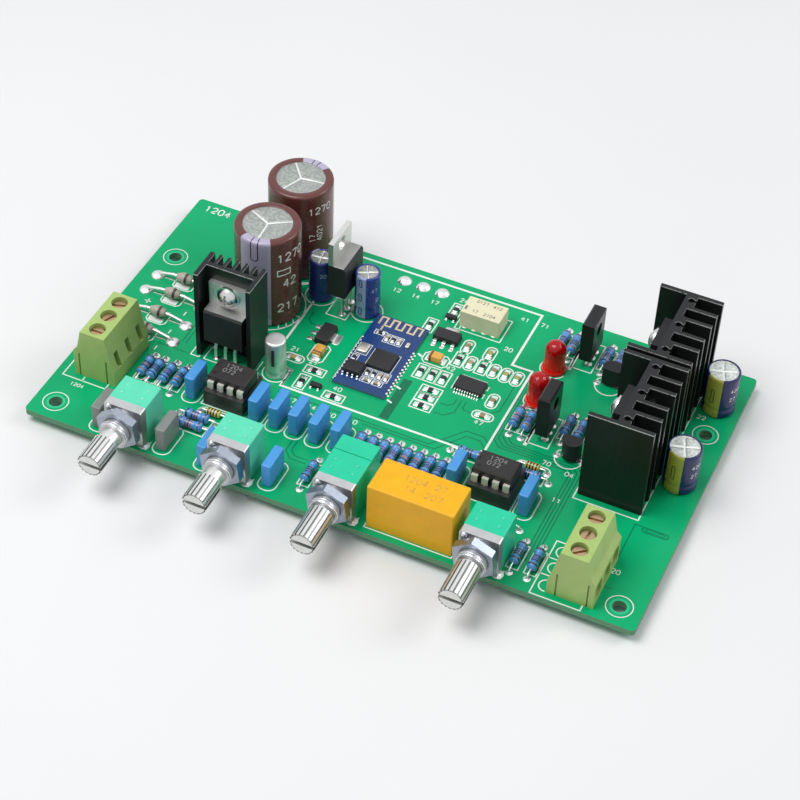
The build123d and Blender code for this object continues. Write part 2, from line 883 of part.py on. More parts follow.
# Heatsinks. Both profiles run straight up from the board, with two solder pins each.
small_sink_left = 26.8
small_sink_front = 33.8
small_sink_x = small_sink_left + small_sink_width / 2
small_plate_face = small_sink_front + small_sink_plate_front

with BuildPart() as left_heatsink:
    with BuildSketch(Plane.XY.offset(top)):
        middle_x, front_y, _ = spot(small_sink_x, small_sink_front)
        for side in (-1, 1):
            wall_x = middle_x + side * (small_sink_width - small_sink_wall) / 2
            with Locations((wall_x, front_y + small_sink_depth / 2)):
                Rectangle(small_sink_wall, small_sink_depth)
        with Locations((middle_x, front_y + small_sink_plate_front + small_sink_plate / 2)):
            Rectangle(small_sink_width - small_sink_wall, small_sink_plate)
        fin_step = (small_sink_width - small_sink_wall) / (small_sink_fins + 1)
        fin_front = small_sink_plate_front + small_sink_plate / 2
        fin_length = small_sink_depth - fin_front
        for k in range(small_sink_fins):
            fin_x = middle_x + (k - (small_sink_fins - 1) / 2) * fin_step
            with Locations((fin_x, front_y + fin_front + fin_length / 2)):
                Rectangle(small_sink_fin, fin_length)
    extrude(amount=sink_height)
    screw_height = tab_bottom + tab_height - tab_hole_drop
    screw_spot = spot(small_sink_x, small_plate_face, top + screw_height)
    with BuildSketch(Plane(origin=screw_spot, z_dir=(0, -1, 0))):
        Circle(regulator_screw_radius)
    extrude(amount=-small_sink_plate, mode=Mode.SUBTRACT)
    for side in (-1, 1):
        lead(small_sink_x + side * 5.0, small_plate_face + small_sink_plate / 2, sink_pin_radius, start=0.5)
save(left_heatsink.part, "left_heatsink")

big_sink_left = 124.7
big_sink_x = big_sink_left + big_sink_width / 2
spine_face = big_sink_left + big_sink_spine_left
big_sink_centres = (43.5, 68.0)


def make_big_sink(centre_y):
    """One long heatsink: two end plates, a spine between them, fins and screw keyholes."""
    with BuildPart() as sink:
        with BuildSketch(Plane.XY.offset(top)):
            for side in (-1, 1):
                with Locations(spot(big_sink_x, centre_y + side * (big_sink_depth - big_sink_wall) / 2)[:2]):
                    Rectangle(big_sink_width, big_sink_wall)
            with Locations(spot(spine_face + big_sink_spine / 2, centre_y)[:2]):
                Rectangle(big_sink_spine, big_sink_depth - big_sink_wall)
            fin_reach = big_sink_width - big_sink_spine_left - big_sink_spine / 2
            for place in big_sink_fin_places:
                fin_x = big_sink_left + big_sink_width - fin_reach / 2
                with Locations(spot(fin_x, centre_y + place)[:2]):
                    Rectangle(fin_reach, big_sink_fin)
            boss_x = spine_face + big_sink_spine + big_sink_boss / 2 - 0.2
            for place in keyhole_places:
                boss_width = 5.2 if place else 5.0
                with Locations(spot(boss_x, centre_y + place)[:2]):
                    Rectangle(big_sink_boss + 0.4, boss_width)
            keyhole_x = spine_face + big_sink_spine + 0.1
            for place in keyhole_places:
                with Locations(spot(keyhole_x, centre_y + place)[:2]):
                    Circle(keyhole_radius, mode=Mode.SUBTRACT)
                with Locations(spot(keyhole_x + big_sink_boss, centre_y + place)[:2]):
                    Rectangle(2 * big_sink_boss, keyhole_mouth, mode=Mode.SUBTRACT)
        extrude(amount=sink_height)
        tapped_plane = Plane(
            origin=spot(spine_face, centre_y, top + screw_height),
            x_dir=(0, 1, 0),
            z_dir=(-1, 0, 0),
        )
        with BuildSketch(tapped_plane):
            Circle(regulator_screw_radius)
        extrude(amount=-screw_thread_bite, mode=Mode.SUBTRACT)
        for side in (-1, 1):
            pin_y = centre_y + side * (big_sink_depth / 2 - 2.6)
            lead(spine_face + big_sink_spine / 2 + 0.3, pin_y, sink_pin_radius, start=0.5)
    return sink.part


save(make_big_sink(big_sink_centres[0]), "front_heatsink")
save(make_big_sink(big_sink_centres[1]), "rear_heatsink")


# Tab packages. The package's own frame has x across its width, y out of its front and z up,
# with the origin on the back of its tab at its bottom edge.
def tab_package(origin, across, front, bottom, full_plastic, foot_setback):
    """A three-lead tab package that stands bottom above the board, its back at origin."""
    x, y = origin
    side_plane = Plane(origin=spot(x, y), x_dir=front, z_dir=Vector(front).cross(Vector(0, 0, 1)))
    body_upper = tab_upper_thickness if full_plastic else tab_thickness
    body_top = bottom + tab_height
    split = bottom + tab_body_height
    with BuildSketch(side_plane) as outline:
        with BuildLine():
            Polyline(
                (0, bottom),
                (tab_body_thickness, bottom),
                (tab_body_thickness, split - 0.5),
                (tab_body_thickness - 0.5, split),
                (body_upper, split),
                (body_upper, body_top),
                (0, body_top),
                close=True,
            )
        make_face()
    extrude(outline.sketch, amount=tab_width / 2, both=True)
    back_plane = Plane(origin=spot(x, y), x_dir=Vector(0, 0, 1).cross(Vector(front)), z_dir=front)
    with BuildSketch(back_plane) as hole_outline:
        with Locations((0, body_top - tab_hole_drop)):
            Circle(tab_hole_radius)
    extrude(hole_outline.sketch, amount=body_upper, mode=Mode.SUBTRACT)
    for step in (-1, 0, 1):
        shift = Vector(across) * (step * tab_lead_pitch)
        lead_side = Plane(origin=side_plane.origin + shift, x_dir=front, z_dir=side_plane.z_dir)
        foot = -board_thickness - lead_below
        knee = min(bottom - 0.5, 3.2)
        with BuildSketch(lead_side) as lead_outline:
            with BuildLine():
                Polyline(
                    (tab_lead_setback, bottom + 0.5),
                    (tab_lead_setback, bottom - 0.4),
                    (foot_setback, knee),
                    (foot_setback, foot),
                    (foot_setback + tab_lead_metal, foot),
                    (foot_setback + tab_lead_metal, knee),
                    (tab_lead_setback + tab_lead_metal, bottom - 0.4),
                    (tab_lead_setback + tab_lead_metal, bottom + 0.5),
                    close=True,
                )
            make_face()
        extrude(lead_outline.sketch, amount=tab_lead_width / 2, both=True)
        if bottom - knee > 1:
            with BuildSketch(lead_side) as shoulder_outline:
                with BuildLine():
                    Polyline(
                        (tab_lead_setback, bottom + 0.5),
                        (tab_lead_setback, bottom - 0.4),
                        (tab_lead_setback + tab_lead_metal, bottom - 0.4),
                        (tab_lead_setback + tab_lead_metal, bottom + 0.5),
                        close=True,
                    )
                make_face()
            extrude(shoulder_outline.sketch, amount=tab_lead_shoulder / 2, both=True)
        hole = Vector(front) * (foot_setback + tab_lead_metal / 2) + shift
        drill(x + hole.X, y + hole.Y, 0.5 * (tab_lead_width**2 + tab_lead_metal**2) ** 0.5)


with BuildPart() as left_regulator:
    tab_package((small_sink_x, small_plate_face), (-1, 0, 0), (0, -1, 0), tab_bottom, False, 3.1)
save(left_regulator.part, "left_regulator")

with BuildPart() as right_regulators:
    for centre_y in big_sink_centres:
        tab_package((spine_face, centre_y), (0, 1, 0), (-1, 0, 0), tab_bottom, True, tab_lead_setback)
save(right_regulators.part, "right_regulators")

with BuildPart() as free_regulator:
    tab_package((48.9, 64.5), (0, 1, 0), (1, 0, 0), free_tab_bottom, False, tab_lead_setback)
save(free_regulator.part, "free_regulator")


def regulator_screw(origin, outward, grip, bite):
    """A domed screw on a washer, that holds a package of thickness grip against a heatsink."""
    plane = Plane(origin=origin, z_dir=outward)
    with BuildSketch(plane) as shank:
        Circle(regulator_screw_radius - lead_play)
    extrude(shank.sketch, amount=-bite)
    extrude(shank.sketch, amount=grip)
    rim = grip + washer_thickness
    crown = grip + regulator_screw_head_height
    ball = (regulator_screw_head_radius**2 + (crown - rim) ** 2) / (2 * (crown - rim))
    across = Vector(0, 0, 1).cross(Vector(outward))
    with BuildSketch(Plane(origin=origin, x_dir=(0, 0, 1), z_dir=across)) as head:
        with BuildLine():
            Polyline(
                (0, crown),
                (0, grip),
                (washer_radius, grip),
                (washer_radius, rim),
                (regulator_screw_head_radius, rim),
            )
            RadiusArc((regulator_screw_head_radius, rim), (0, crown), -ball)
        make_face()
    revolve(head.sketch, axis=Axis(origin, outward))
    with Locations(plane.offset(crown)):
        Box(screw_recess, 0.6, 2.0, mode=Mode.SUBTRACT)
        Box(0.6, screw_recess, 2.0, mode=Mode.SUBTRACT)


with BuildPart() as regulator_screws:
    regulator_screw(
        screw_spot,
        (0, -1, 0),
        tab_thickness,
        small_sink_plate,
    )
    for centre_y in big_sink_centres:
        regulator_screw(
            spot(spine_face, centre_y, top + screw_height),
            (-1, 0, 0),
            tab_upper_thickness,
            screw_thread_bite,
        )
save(regulator_screws.part, "regulator_screws")

# Flat power transistors: thin along X, with a fixing hole and three leads in a row along Y
flat_places = ((111.8, 46.9), (111.8, 74.8))
flat_hole_height = top + flat_bottom + flat_height - flat_hole_drop
with BuildPart() as driver_transistors:
    for x, y in flat_places:
        block(x - flat_setback, y, flat_bottom, flat_thickness, flat_width, flat_height)
    chamfer(driver_transistors.edges().group_by(Axis.Z)[-1], flat_chamfer)
    for x, y in flat_places:
        with Locations(Location(spot(x - flat_setback, y, flat_hole_height), (0, 90, 0))):
            Cylinder(flat_hole_radius, 2 * flat_thickness, mode=Mode.SUBTRACT)
        for step in (-1, 0, 1):
            lead(x, y + step * flat_lead_pitch, flat_lead_radius, start=flat_bottom + lead_start)
save(driver_transistors.part, "driver_transistors")

# Round transistors with one flat side, on three leads in a row along X
with BuildPart() as small_transistors:
    for x, y, facing in ((119.2, 42.0, 1), (119.0, 68.4, -1)):
        with BuildSketch(Plane.XY.offset(top + round_bottom)):
            centre = spot(x, y)[:2]
            with Locations(centre):
                Circle(round_radius)
            with Locations((centre[0], centre[1] + facing * (round_flat + round_radius))):
                Rectangle(3 * round_radius, 2 * round_radius, mode=Mode.SUBTRACT)
        extrude(amount=round_height)
        for step in (-1, 0, 1):
            shift = 0 if step else -0.6 * facing
            lead(
                x + step * round_lead_pitch,
                y + shift,
                thin_lead_radius,
                start=round_bottom + lead_start,
                below=trim_lead_below,
            )
save(small_transistors.part, "small_transistors")

# Red lamps
with BuildPart() as red_lamps:
    for x, y in ((105.0, 67.2), (105.6, 55.3)):
        with BuildSketch(Plane(origin=spot(x, y), x_dir=(1, 0, 0), z_dir=(0, -1, 0))):
            with BuildLine():
                Polyline(
                    (0, lamp_height),
                    (0, 0),
                    (lamp_flange_radius, 0),
                    (lamp_flange_radius, lamp_flange),
                    (lamp_radius, lamp_flange),
                    (lamp_radius, lamp_height - lamp_radius),
                )
                RadiusArc((lamp_radius, lamp_height - lamp_radius), (0, lamp_height), -lamp_radius)
            make_face()
        revolve(axis=Axis(spot(x, y), (0, 0, 1)))
        for side in (-0.5, 0.5):
            lead(x + side * lamp_lead_pitch, y, thin_lead_radius)
save(red_lamps.part, "red_lamps")

# Wireless module: its own thin board, soldered flat to the main board
module_x = module_left + module_width / 2
module_y = module_front + module_length / 2
with BuildPart() as module_board:
    block(module_x, module_y, 0, module_width, module_length, module_thickness)
    for side in (-1, 1):
        for k in range(edge_contacts):
            contact_y = module_front + first_edge_contact + edge_contact_pitch * k
            with Locations(spot(module_x + side * module_width / 2, contact_y)):
                Cylinder(edge_contact_radius, 3 * module_thickness, mode=Mode.SUBTRACT)
save(module_board.part, "module_board")

# Chips and small parts on the module: place, size in X, size in Y, height
module_parts_list = (
    (67.8, 51.2, 6.1, 6.1, 0.9),
    (61.9, 52.5, 2.5, 3.2, 0.7),
    (62.2, 44.9, 4.6, 4.0, 1.5),
    (63.2, 59.4, 1.6, 0.8, 0.5),
    (65.4, 58.3, 0.8, 1.6, 0.5),
    (67.0, 58.3, 0.8, 1.6, 0.5),
    (68.6, 58.3, 0.8, 1.6, 0.5),
    (71.0, 57.8, 0.9, 1.7, 0.5),
    (66.2, 45.6, 0.8, 1.6, 0.5),
    (67.8, 45.6, 0.8, 1.6, 0.6),
    (69.4, 45.6, 0.8, 1.6, 0.6),
    (71.0, 45.6, 0.8, 1.6, 0.5),
    (67.0, 43.0, 1.6, 0.8, 0.5),
    (69.6, 43.0, 1.6, 1.2, 0.8),
    (61.2, 48.6, 0.8, 1.6, 0.5),
)
with BuildPart() as module_parts:
    for x, y, length, width, height in module_parts_list:
        block(x, y, module_thickness, length, width, height)
save(module_parts.part, "module_parts")

# Surface parts on the main board
chip_part_length = 2.0
chip_part_width = 1.25
chip_part_height = 0.55
upright_chip_parts = (
    (72.4, 68.0),
    (76.0, 75.6),
    (83.7, 65.0),
    (89.5, 65.0),
    (83.5, 60.0),
    (86.5, 60.0),
    (89.6, 60.0),
    (92.6, 60.0),
    (95.6, 60.0),
    (98.5, 60.0),
    (77.0, 52.3),
    (79.9, 52.3),
    (82.8, 52.3),
    (96.2, 50.5),
    (53.3, 36.5),
)
level_chip_parts = (
    (81.8, 47.3),
    (81.8, 44.6),
    (81.8, 41.7),
    (96.0, 45.0),
    (48.0, 43.0),
    (54.5, 41.1),
    (62.2, 35.2),
)
with BuildPart() as chip_parts:
    for x, y in upright_chip_parts:
        block(x, y, 0, chip_part_width, chip_part_length, chip_part_height)
    for x, y in level_chip_parts:
        block(x, y, 0, chip_part_length, chip_part_width, chip_part_height)
save(chip_parts.part, "chip_parts")

tantalum_length = 3.4
tantalum_width = 2.4
tantalum_height = 1.7
with BuildPart() as tantalum_capacitors:
    block(52.7, 47.0, 0, tantalum_width, tantalum_length, tantalum_height)
    block(78.6, 57.5, 0, tantalum_length, tantalum_width, tantalum_height)
    chamfer(tantalum_capacitors.edges().group_by(Axis.Z)[-1], 0.2)
save(tantalum_capacitors.part, "tantalum_capacitors")

surface_leg = 0.25
tab_chip_pitch = 2.3
tab_chip_leg_width = 0.7
tab_chip_tab_width = 3.0
tab_chip_reach = 1.75
fine_pitch = 0.65
fine_leg_width = 0.28
fine_leg_reach = 1.1
tiny_legs = ((-0.95, -1), (0.95, -1), (0, 1))
tiny_leg_width = 0.42
tiny_leg_reach = 0.55
surface_body_lift = 0.1
surface_root = 0.3
surface_knee_share = 0.4


def flat_chip(x, y, size, leg_places, leg_width, leg_reach, along_x):
    """A moulded surface chip with bent legs that reach the board on two opposite sides."""
    block(x, y, surface_body_lift, *size)
    span = size[0] if along_x else size[1]
    shoulder = size[2] / 2
    knee = span / 2 + surface_knee_share * leg_reach
    runs = (
        (span / 2 - surface_root, knee + surface_leg / 2, shoulder, surface_leg),
        (knee - surface_leg / 2, knee + surface_leg / 2, 0, shoulder + surface_leg),
        (knee - surface_leg / 2, span / 2 + leg_reach, 0, surface_leg),
    )
    for place, side in leg_places:
        for near, far, low, height in runs:
            middle = side * (near + far) / 2
            if along_x:
                block(x + middle, y + place, low, far - near, leg_width, height)
            else:
                block(x + place, y + middle, low, leg_width, far - near, height)


with BuildPart() as surface_chips:
    left_tab_chip = (51.6, 53.1, (3.5, 6.5, 1.6))
    rear_tab_chip = (78.1, 65.4, (6.5, 3.5, 1.6))
    tab_chip_legs = [(-tab_chip_pitch, -1), (0, -1), (tab_chip_pitch, -1)]
    for place, along_x in ((left_tab_chip, True), (rear_tab_chip, False)):
        flat_chip(*place, tab_chip_legs, tab_chip_leg_width, tab_chip_reach, along_x)
        flat_chip(*place, [(0, 1)], tab_chip_tab_width, tab_chip_reach, along_x)
    fine_legs = [((k - 4.5) * fine_pitch, side) for k in range(10) for side in (-1, 1)]
    flat_chip(89.7, 52.4, (7.2, 4.4, 1.5), fine_legs, fine_leg_width, fine_leg_reach, False)
    for x, y in ((76.0, 72.5), (57.0, 36.5)):
        flat_chip(x, y, (2.9, 1.4, 1.0), tiny_legs, tiny_leg_width, tiny_leg_reach, False)
save(surface_chips.part, "surface_chips")

# Round solder blobs that fill the three input pads
with BuildPart() as input_solder:
    for k in range(3):
        pad_x = first_input_pad[0] + k * input_pitch
        place = spot(pad_x, first_input_pad[1])
        with Locations(place):
            Cylinder(
                solder_pin_radius,
                board_thickness + solder_pin_below,
                align=(Align.CENTER, Align.CENTER, Align.MAX),
            )
        drilled.append((pad_x, first_input_pad[1], solder_pin_radius + solder_play))
        ball = (solder_dome_radius**2 + solder_dome_height**2) / (2 * solder_dome_height)
        with BuildSketch(Plane(origin=place, x_dir=(1, 0, 0), z_dir=(0, -1, 0))):
            with BuildLine():
                Line((0, 0), (solder_dome_radius, 0))
                RadiusArc((solder_dome_radius, 0), (0, solder_dome_height), -ball)
                Line((0, solder_dome_height), (0, 0))
            make_face()
        revolve(axis=Axis(place, (0, 0, 1)))
save(input_solder.part, "input_solder")

# The board comes last, because every lead above has noted its hole.
with BuildPart() as circuit_board:
    with BuildSketch():
        with Locations(spot(board_length / 2, board_depth / 2)[:2]):
            RectangleRounded(board_length, board_depth, board_corner)
        with GridLocations(hole_spacing_x, hole_spacing_y, 2, 2):
            Circle(hole_radius, mode=Mode.SUBTRACT)
        for x, y, radius in drilled:
            with Locations(spot(x, y)[:2]):
                Circle(radius, mode=Mode.SUBTRACT)
    extrude(amount=board_thickness)
save(circuit_board.part, "circuit_board")
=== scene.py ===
# %% [markdown]
# # A preamplifier tone board
# This notebook dresses the CAD model of a stereo preamplifier board: a green circuit board with four
# potentiometers on its front edge, relays, capacitors, finned heatsinks and a small wireless module.
# The CAD model is the frame: it fixes every size and every joint. We keep the CAD shapes that are
# already right and give them real finishes, and we make the small curved things again as smooth surfaces.

# %% Load the frame
import math
from functools import partialmethod

import bpy
import numpy as np
from mathutils import Matrix, Vector


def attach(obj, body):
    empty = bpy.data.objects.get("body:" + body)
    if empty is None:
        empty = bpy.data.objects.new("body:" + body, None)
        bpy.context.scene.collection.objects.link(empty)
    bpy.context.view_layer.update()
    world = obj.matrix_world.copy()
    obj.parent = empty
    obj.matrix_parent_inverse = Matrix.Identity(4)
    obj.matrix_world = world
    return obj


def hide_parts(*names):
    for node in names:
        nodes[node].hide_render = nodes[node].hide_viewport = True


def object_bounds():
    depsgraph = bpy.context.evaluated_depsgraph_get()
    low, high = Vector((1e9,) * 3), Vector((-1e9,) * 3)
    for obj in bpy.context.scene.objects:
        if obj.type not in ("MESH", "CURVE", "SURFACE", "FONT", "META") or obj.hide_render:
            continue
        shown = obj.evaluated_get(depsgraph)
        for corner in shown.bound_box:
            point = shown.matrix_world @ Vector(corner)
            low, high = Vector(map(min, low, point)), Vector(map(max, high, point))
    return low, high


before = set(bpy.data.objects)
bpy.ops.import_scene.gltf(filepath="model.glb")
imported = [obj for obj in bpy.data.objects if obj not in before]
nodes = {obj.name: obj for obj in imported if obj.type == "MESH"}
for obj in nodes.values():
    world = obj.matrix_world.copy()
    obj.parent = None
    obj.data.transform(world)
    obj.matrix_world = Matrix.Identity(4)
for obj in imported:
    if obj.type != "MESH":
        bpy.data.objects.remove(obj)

cad_low, cad_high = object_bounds()
print("CAD nodes:", len(nodes), "box in mm:", [round(1000 * v) for v in cad_high - cad_low])

# %% [markdown]
# ## One ruler for everything
# The board is easiest to measure from its own front left corner, in millimetres, with heights counted from
# its top face. The frame's origin is in the middle of the four mounting holes, so one small function moves
# our numbers there and turns them into metres.

# %% Board ruler
MM = 0.001
BOARD_LENGTH, BOARD_DEPTH, BOARD_THICKNESS = 150.0, 85.5, 1.6
CORNER = np.array((-75.0, -33.8, BOARD_THICKNESS))


def to_frame(points):
    """Board millimetres to frame metres: add the corner's place, then scale."""
    return (np.asarray(points, float) + CORNER) * MM


print("board's back right corner:", to_frame((BOARD_LENGTH, BOARD_DEPTH, 0)).round(4))

# %% [markdown]
# ## The camera first
# The photograph was taken from the front right, from about 45 degrees up, with a long lens. The camera is
# set before anything else. Three plain angles say it all: turn round the upright axis, tip down, and a slight
# roll.

# %% Camera
CAMERA_PLACE = (0.13695, -0.31625, 0.34859)
TURN, TIP, ROLL = (math.radians(a) for a in (22.69, 44.68, 2.69))
camera_data = bpy.data.cameras.new("camera")
camera_data.sensor_width = 36.0
camera_data.lens = 95.0
camera_data.clip_start = 0.01
camera = bpy.data.objects.new("camera", camera_data)
camera.matrix_world = (
    Matrix.Translation(CAMERA_PLACE)
    @ Matrix.Rotation(TURN, 4, "Z")
    @ Matrix.Rotation(math.pi / 2 - TIP, 4, "X")
    @ Matrix.Rotation(ROLL, 4, "Z")
)
bpy.context.scene.collection.objects.link(camera)
bpy.context.scene.camera = camera
bpy.context.scene.view_settings.view_transform = "Standard"
print("camera looks along", (camera.matrix_world.to_3x3() @ Vector((0, 0, -1))).to_tuple(2))

# %% [markdown]
# ## A small kit for finishes
# A finish is a tree of shader nodes. Written out one by one such trees are long, so this class has one short
# method for each idea, such as a noise, a mask or a bump, and each method hands back a socket that the
# next one can take. Patterns are measured in millimetres on the object itself, so they stay put.

# %% Finish kit
class Finish:
    """A procedural material. Every method gives back an output socket, and takes sockets or plain values."""

    def __init__(self, name):
        self.material = bpy.data.materials.new(name)
        self.material.use_nodes = True
        self.tree = self.material.node_tree

    def put(self, socket, value):
        """Links a socket to an input, or sets a plain number or colour on it."""
        if isinstance(value, bpy.types.NodeSocket):
            self.tree.links.new(value, socket)
        elif value is not None:
            wide = socket.type == "RGBA" and len(value) == 3
            socket.default_value = (*value, 1.0) if wide else value

    def node(self, kind, *inputs, out=0, **settings):
        """Adds a node, sets it up and fills its inputs in order; None leaves an input as it is."""
        made = self.tree.nodes.new("ShaderNode" + kind)
        for key, value in settings.items():
            setattr(made, key, value)
        for socket, value in zip(made.inputs, inputs):
            self.put(socket, value)
        return made.outputs[out]

    def math(self, operation, a, b=None, c=None):
        return self.node("Math", a, b, c, operation=operation)

    # The sums and tests that come up most, by short names.
    plus = partialmethod(math, "ADD")
    minus = partialmethod(math, "SUBTRACT")
    times = partialmethod(math, "MULTIPLY")
    under = partialmethod(math, "LESS_THAN")
    over = partialmethod(math, "GREATER_THAN")
    size = partialmethod(math, "ABSOLUTE")
    rest = partialmethod(math, "SUBTRACT", 1.0)

    def at(self, centre=(0, 0, 0)):
        """The place on the object in board millimetres, counted from centre."""
        scaled = self.stretch(self.node("TexCoord", out=3), (1000.0,) * 3)
        return self.node("VectorMath", scaled, tuple(-(CORNER + np.array(centre))), operation="ADD")

    def own(self):
        """The point's place on its own copy of the shape, in millimetres."""
        return self.node("Attribute", out=1, attribute_name="local")

    def copy(self):
        """The number of the copy that a point is on."""
        return self.node("Attribute", out=2, attribute_name="number")

    def draw(self, seed):
        """A random number from 0 to 1 for each copy."""
        return self.node("TexWhiteNoise", None, self.plus(self.copy(), seed), noise_dimensions="1D")

    def split(self, vector):
        """The x, y and z of a vector."""
        return self.node("SeparateXYZ", vector, out=slice(0, 3))

    def upward(self):
        """How far a face looks up: 1 is straight up, 0 is sideways."""
        return self.split(self.node("NewGeometry", out=1))[2]

    def stretch(self, vector, scale):
        """A vector times another, to squeeze or stretch a pattern."""
        return self.node("VectorMath", vector, scale, operation="MULTIPLY")

    def reach(self, vector, scale=(1, 1, 1)):
        """The length of a vector, after it is squeezed or flattened by scale."""
        return self.node("VectorMath", self.stretch(vector, scale), operation="LENGTH", out=1)

    def ends(self, along, half):
        """1 where a point is more than half away from the middle, and 0 between."""
        return self.over(self.size(along), half)

    def noise(self, vector, scale, detail=3.0, rough=0.55):
        """Soft clouds, with scale features to the millimetre."""
        return self.node("TexNoise", vector, None, scale, detail, rough)

    def sideways(self):
        """1 on faces that look to a side, and 0 on those that look up or down."""
        return self.under(self.size(self.upward()), 0.5)

    def rise(self, value, low, high):
        """0 below low, 1 above high, and smooth between."""
        return self.node("MapRange", value, low, high, 0.0, 1.0, interpolation_type="SMOOTHSTEP")

    def band(self, value, low, high, soft=0.02):
        """1 between low and high, and 0 outside."""
        beyond = self.rise(value, high - soft, high + soft)
        return self.times(self.rise(value, low - soft, low + soft), self.rest(beyond))

    def mix(self, share, a, b):
        """Colour a where share is 0, and b where it is 1."""
        return self.node("Mix", share, *[None] * 5, a, b, data_type="RGBA", out=2)

    def blend(self, share, a, b):
        """Number a where share is 0, and b where it is 1."""
        return self.node("Mix", share, None, a, b)

    def choose(self, value, stops):
        """A colour from stops, a list of (place, colour), in steps."""
        made = self.tree.nodes.new("ShaderNodeValToRGB")
        ramp = made.color_ramp
        ramp.interpolation = "CONSTANT"
        ramp.elements[1].position = stops[-1][0]
        ramp.elements[0].position = stops[0][0]
        for place, _ in stops[1:-1]:
            ramp.elements.new(place)
        for element, (_, colour) in zip(ramp.elements, stops):
            element.color = (*colour, 1.0)
        self.put(made.inputs[0], value)
        return made.outputs[0]

    def bump(self, height, depth):
        """Turns a height into a dent or rise of that many millimetres."""
        return self.node("Bump", 1.0, depth * MM, None, height)

    def done(self, colour, rough, metal=0.0, normal=None, **more):
        """Fills the shader and gives the material."""
        shader = self.tree.nodes["Principled BSDF"]
        inputs = {"Base Color": colour, "Roughness": rough, "Metallic": metal, "Normal": normal, **more}
        for name, value in inputs.items():
            self.put(shader.inputs[name], value)
        return self.material


def tint(colour, share):
    """A colour made lighter by a share above 1, or darker by one below."""
    return tuple(min(v * share, 1.0) for v in colour)


def dress(material, *names):
    """Gives CAD nodes a finish."""
    for name in names:
        materials = nodes[name].data.materials
        materials.clear()
        materials.append(material)


print("finish kit ready")

# %% [markdown]
# ## Two recipes for most parts
# Moulded plastic has clouds of tone and a fine grain, and turns to tinned metal below the height where the
# legs leave the body. Plated metal has brushed streaks, and duller clouds where hands and flux were.

# %% Plastic and metal recipes
TINNED, LEG_ROUGH = (0.78, 0.78, 0.75), 0.36
DULL = {"Specular IOR Level": 0.3}


def moulded(name, colour, rough, leads=None, grain=6.0, depth=0.004, mottle=0.12, metal=0.0, **more):
    """Plastic; leads is the height below which there are only legs."""
    f = Finish(name)
    at = f.at()
    tone = f.mix(f.noise(at, 0.35, 4.0), tint(colour, 1 - mottle), tint(colour, 1 + mottle))
    speck = f.noise(at, grain, 2.0)
    roughness = f.blend(speck, rough - 0.06, rough + 0.08)
    if leads is not None:
        metal = f.rest(f.rise(f.split(at)[2], leads - 0.03, leads + 0.01))
        tone = f.mix(metal, tone, TINNED)
        roughness = f.blend(metal, roughness, LEG_ROUGH)
    return f.done(tone, roughness, metal, f.bump(speck, depth), **more)


def plated(name, colour, rough, brush=(1.0, 1.0, 1.0), grain=3.0, depth=0.004, dirt=0.25):
    """Metal; the streaks run along the axis that brush squeezes."""
    f = Finish(name)
    at = f.at()
    streaks = f.noise(f.stretch(at, brush), grain, 3.0, 0.6)
    tone = f.mix(f.noise(at, 0.5, 3.0), tint(colour, 1 - dirt), colour)
    return f.done(tone, f.blend(streaks, rough - 0.08, rough + 0.12), 1.0, f.bump(streaks, depth))


def numbered(name, count):
    return [f"{name}_{n}" for n in range(1, count + 1)]


dress(moulded("terminal_plastic", (0.360, 0.500, 0.150), 0.42, grain=4.0, depth=0.006),
      "left_terminal_housing", "right_terminal_housing")
dress(moulded("relay_plastic", (0.840, 0.430, 0.012), 0.34, 0.0, 2.0, **DULL), "changeover_relay")
dress(moulded("cream_plastic", (0.760, 0.710, 0.490), 0.42, 0.0), "signal_relay")
dress(moulded("mint_plastic", (0.100, 0.660, 0.430), 0.33), "pot_housing_1", "pot_housing_2")
dress(moulded("green_plastic", (0.008, 0.560, 0.320), 0.33), "pot_housing_3", "pot_housing_4")
dress(moulded("film_plastic", (0.050, 0.280, 0.720), 0.30, 0.0), "film_capacitors")
dress(moulded("grey_film_plastic", (0.330, 0.350, 0.330), 0.38, 0.0), "grey_film_capacitors")
dress(moulded("socket_plastic", (0.020, 0.020, 0.020), 0.42, 0.0), "chip_sockets")
dress(moulded("flat_transistor_resin", (0.012, 0.012, 0.013), 0.32, 2.2, **DULL), "driver_transistors")
dress(moulded("round_transistor_resin", (0.014, 0.014, 0.015), 0.45, 0.7, **DULL), "small_transistors")

dress(plated("nickel", (0.66, 0.66, 0.66), 0.34, (0.3, 3.0, 1.0)), *numbered("pot_bushing", 4))
dress(plated("nut_nickel", (0.44, 0.49, 0.57), 0.28), "pot_nuts")
dress(plated("screw_brass", (0.60, 0.41, 0.25), 0.36), *numbered("terminal_screw", 6))
dress(plated("cage_steel", (0.66, 0.66, 0.64), 0.36), *numbered("clamp_cage", 6))
dress(plated("tin", TINNED, 0.34), "pot_pins", "terminal_contacts")
dress(plated("bright_solder", (0.88, 0.88, 0.87), 0.26, grain=1.0, depth=0.03), "input_solder")
dress(plated("screw_nickel", (0.74, 0.74, 0.73), 0.22), "regulator_screws")
print("plain finishes:", len(bpy.data.materials))

# %% [markdown]
# ## Solder mask
# The board's green is a glossy lacquer over copper, a little lighter where clouds of copper lie below. The
# cut edges show the pale glass cloth of the laminate in thin layers, so the finish looks at which way a
# face points: up and down it is lacquer, sideways it is laminate.

# %% Board finish
corner_holes = [(5.3, 5.2), (144.7, 5.2), (5.3, 62.4), (144.7, 62.4)]
HOLE_RADIUS, RING_RADIUS = 1.5, 2.2


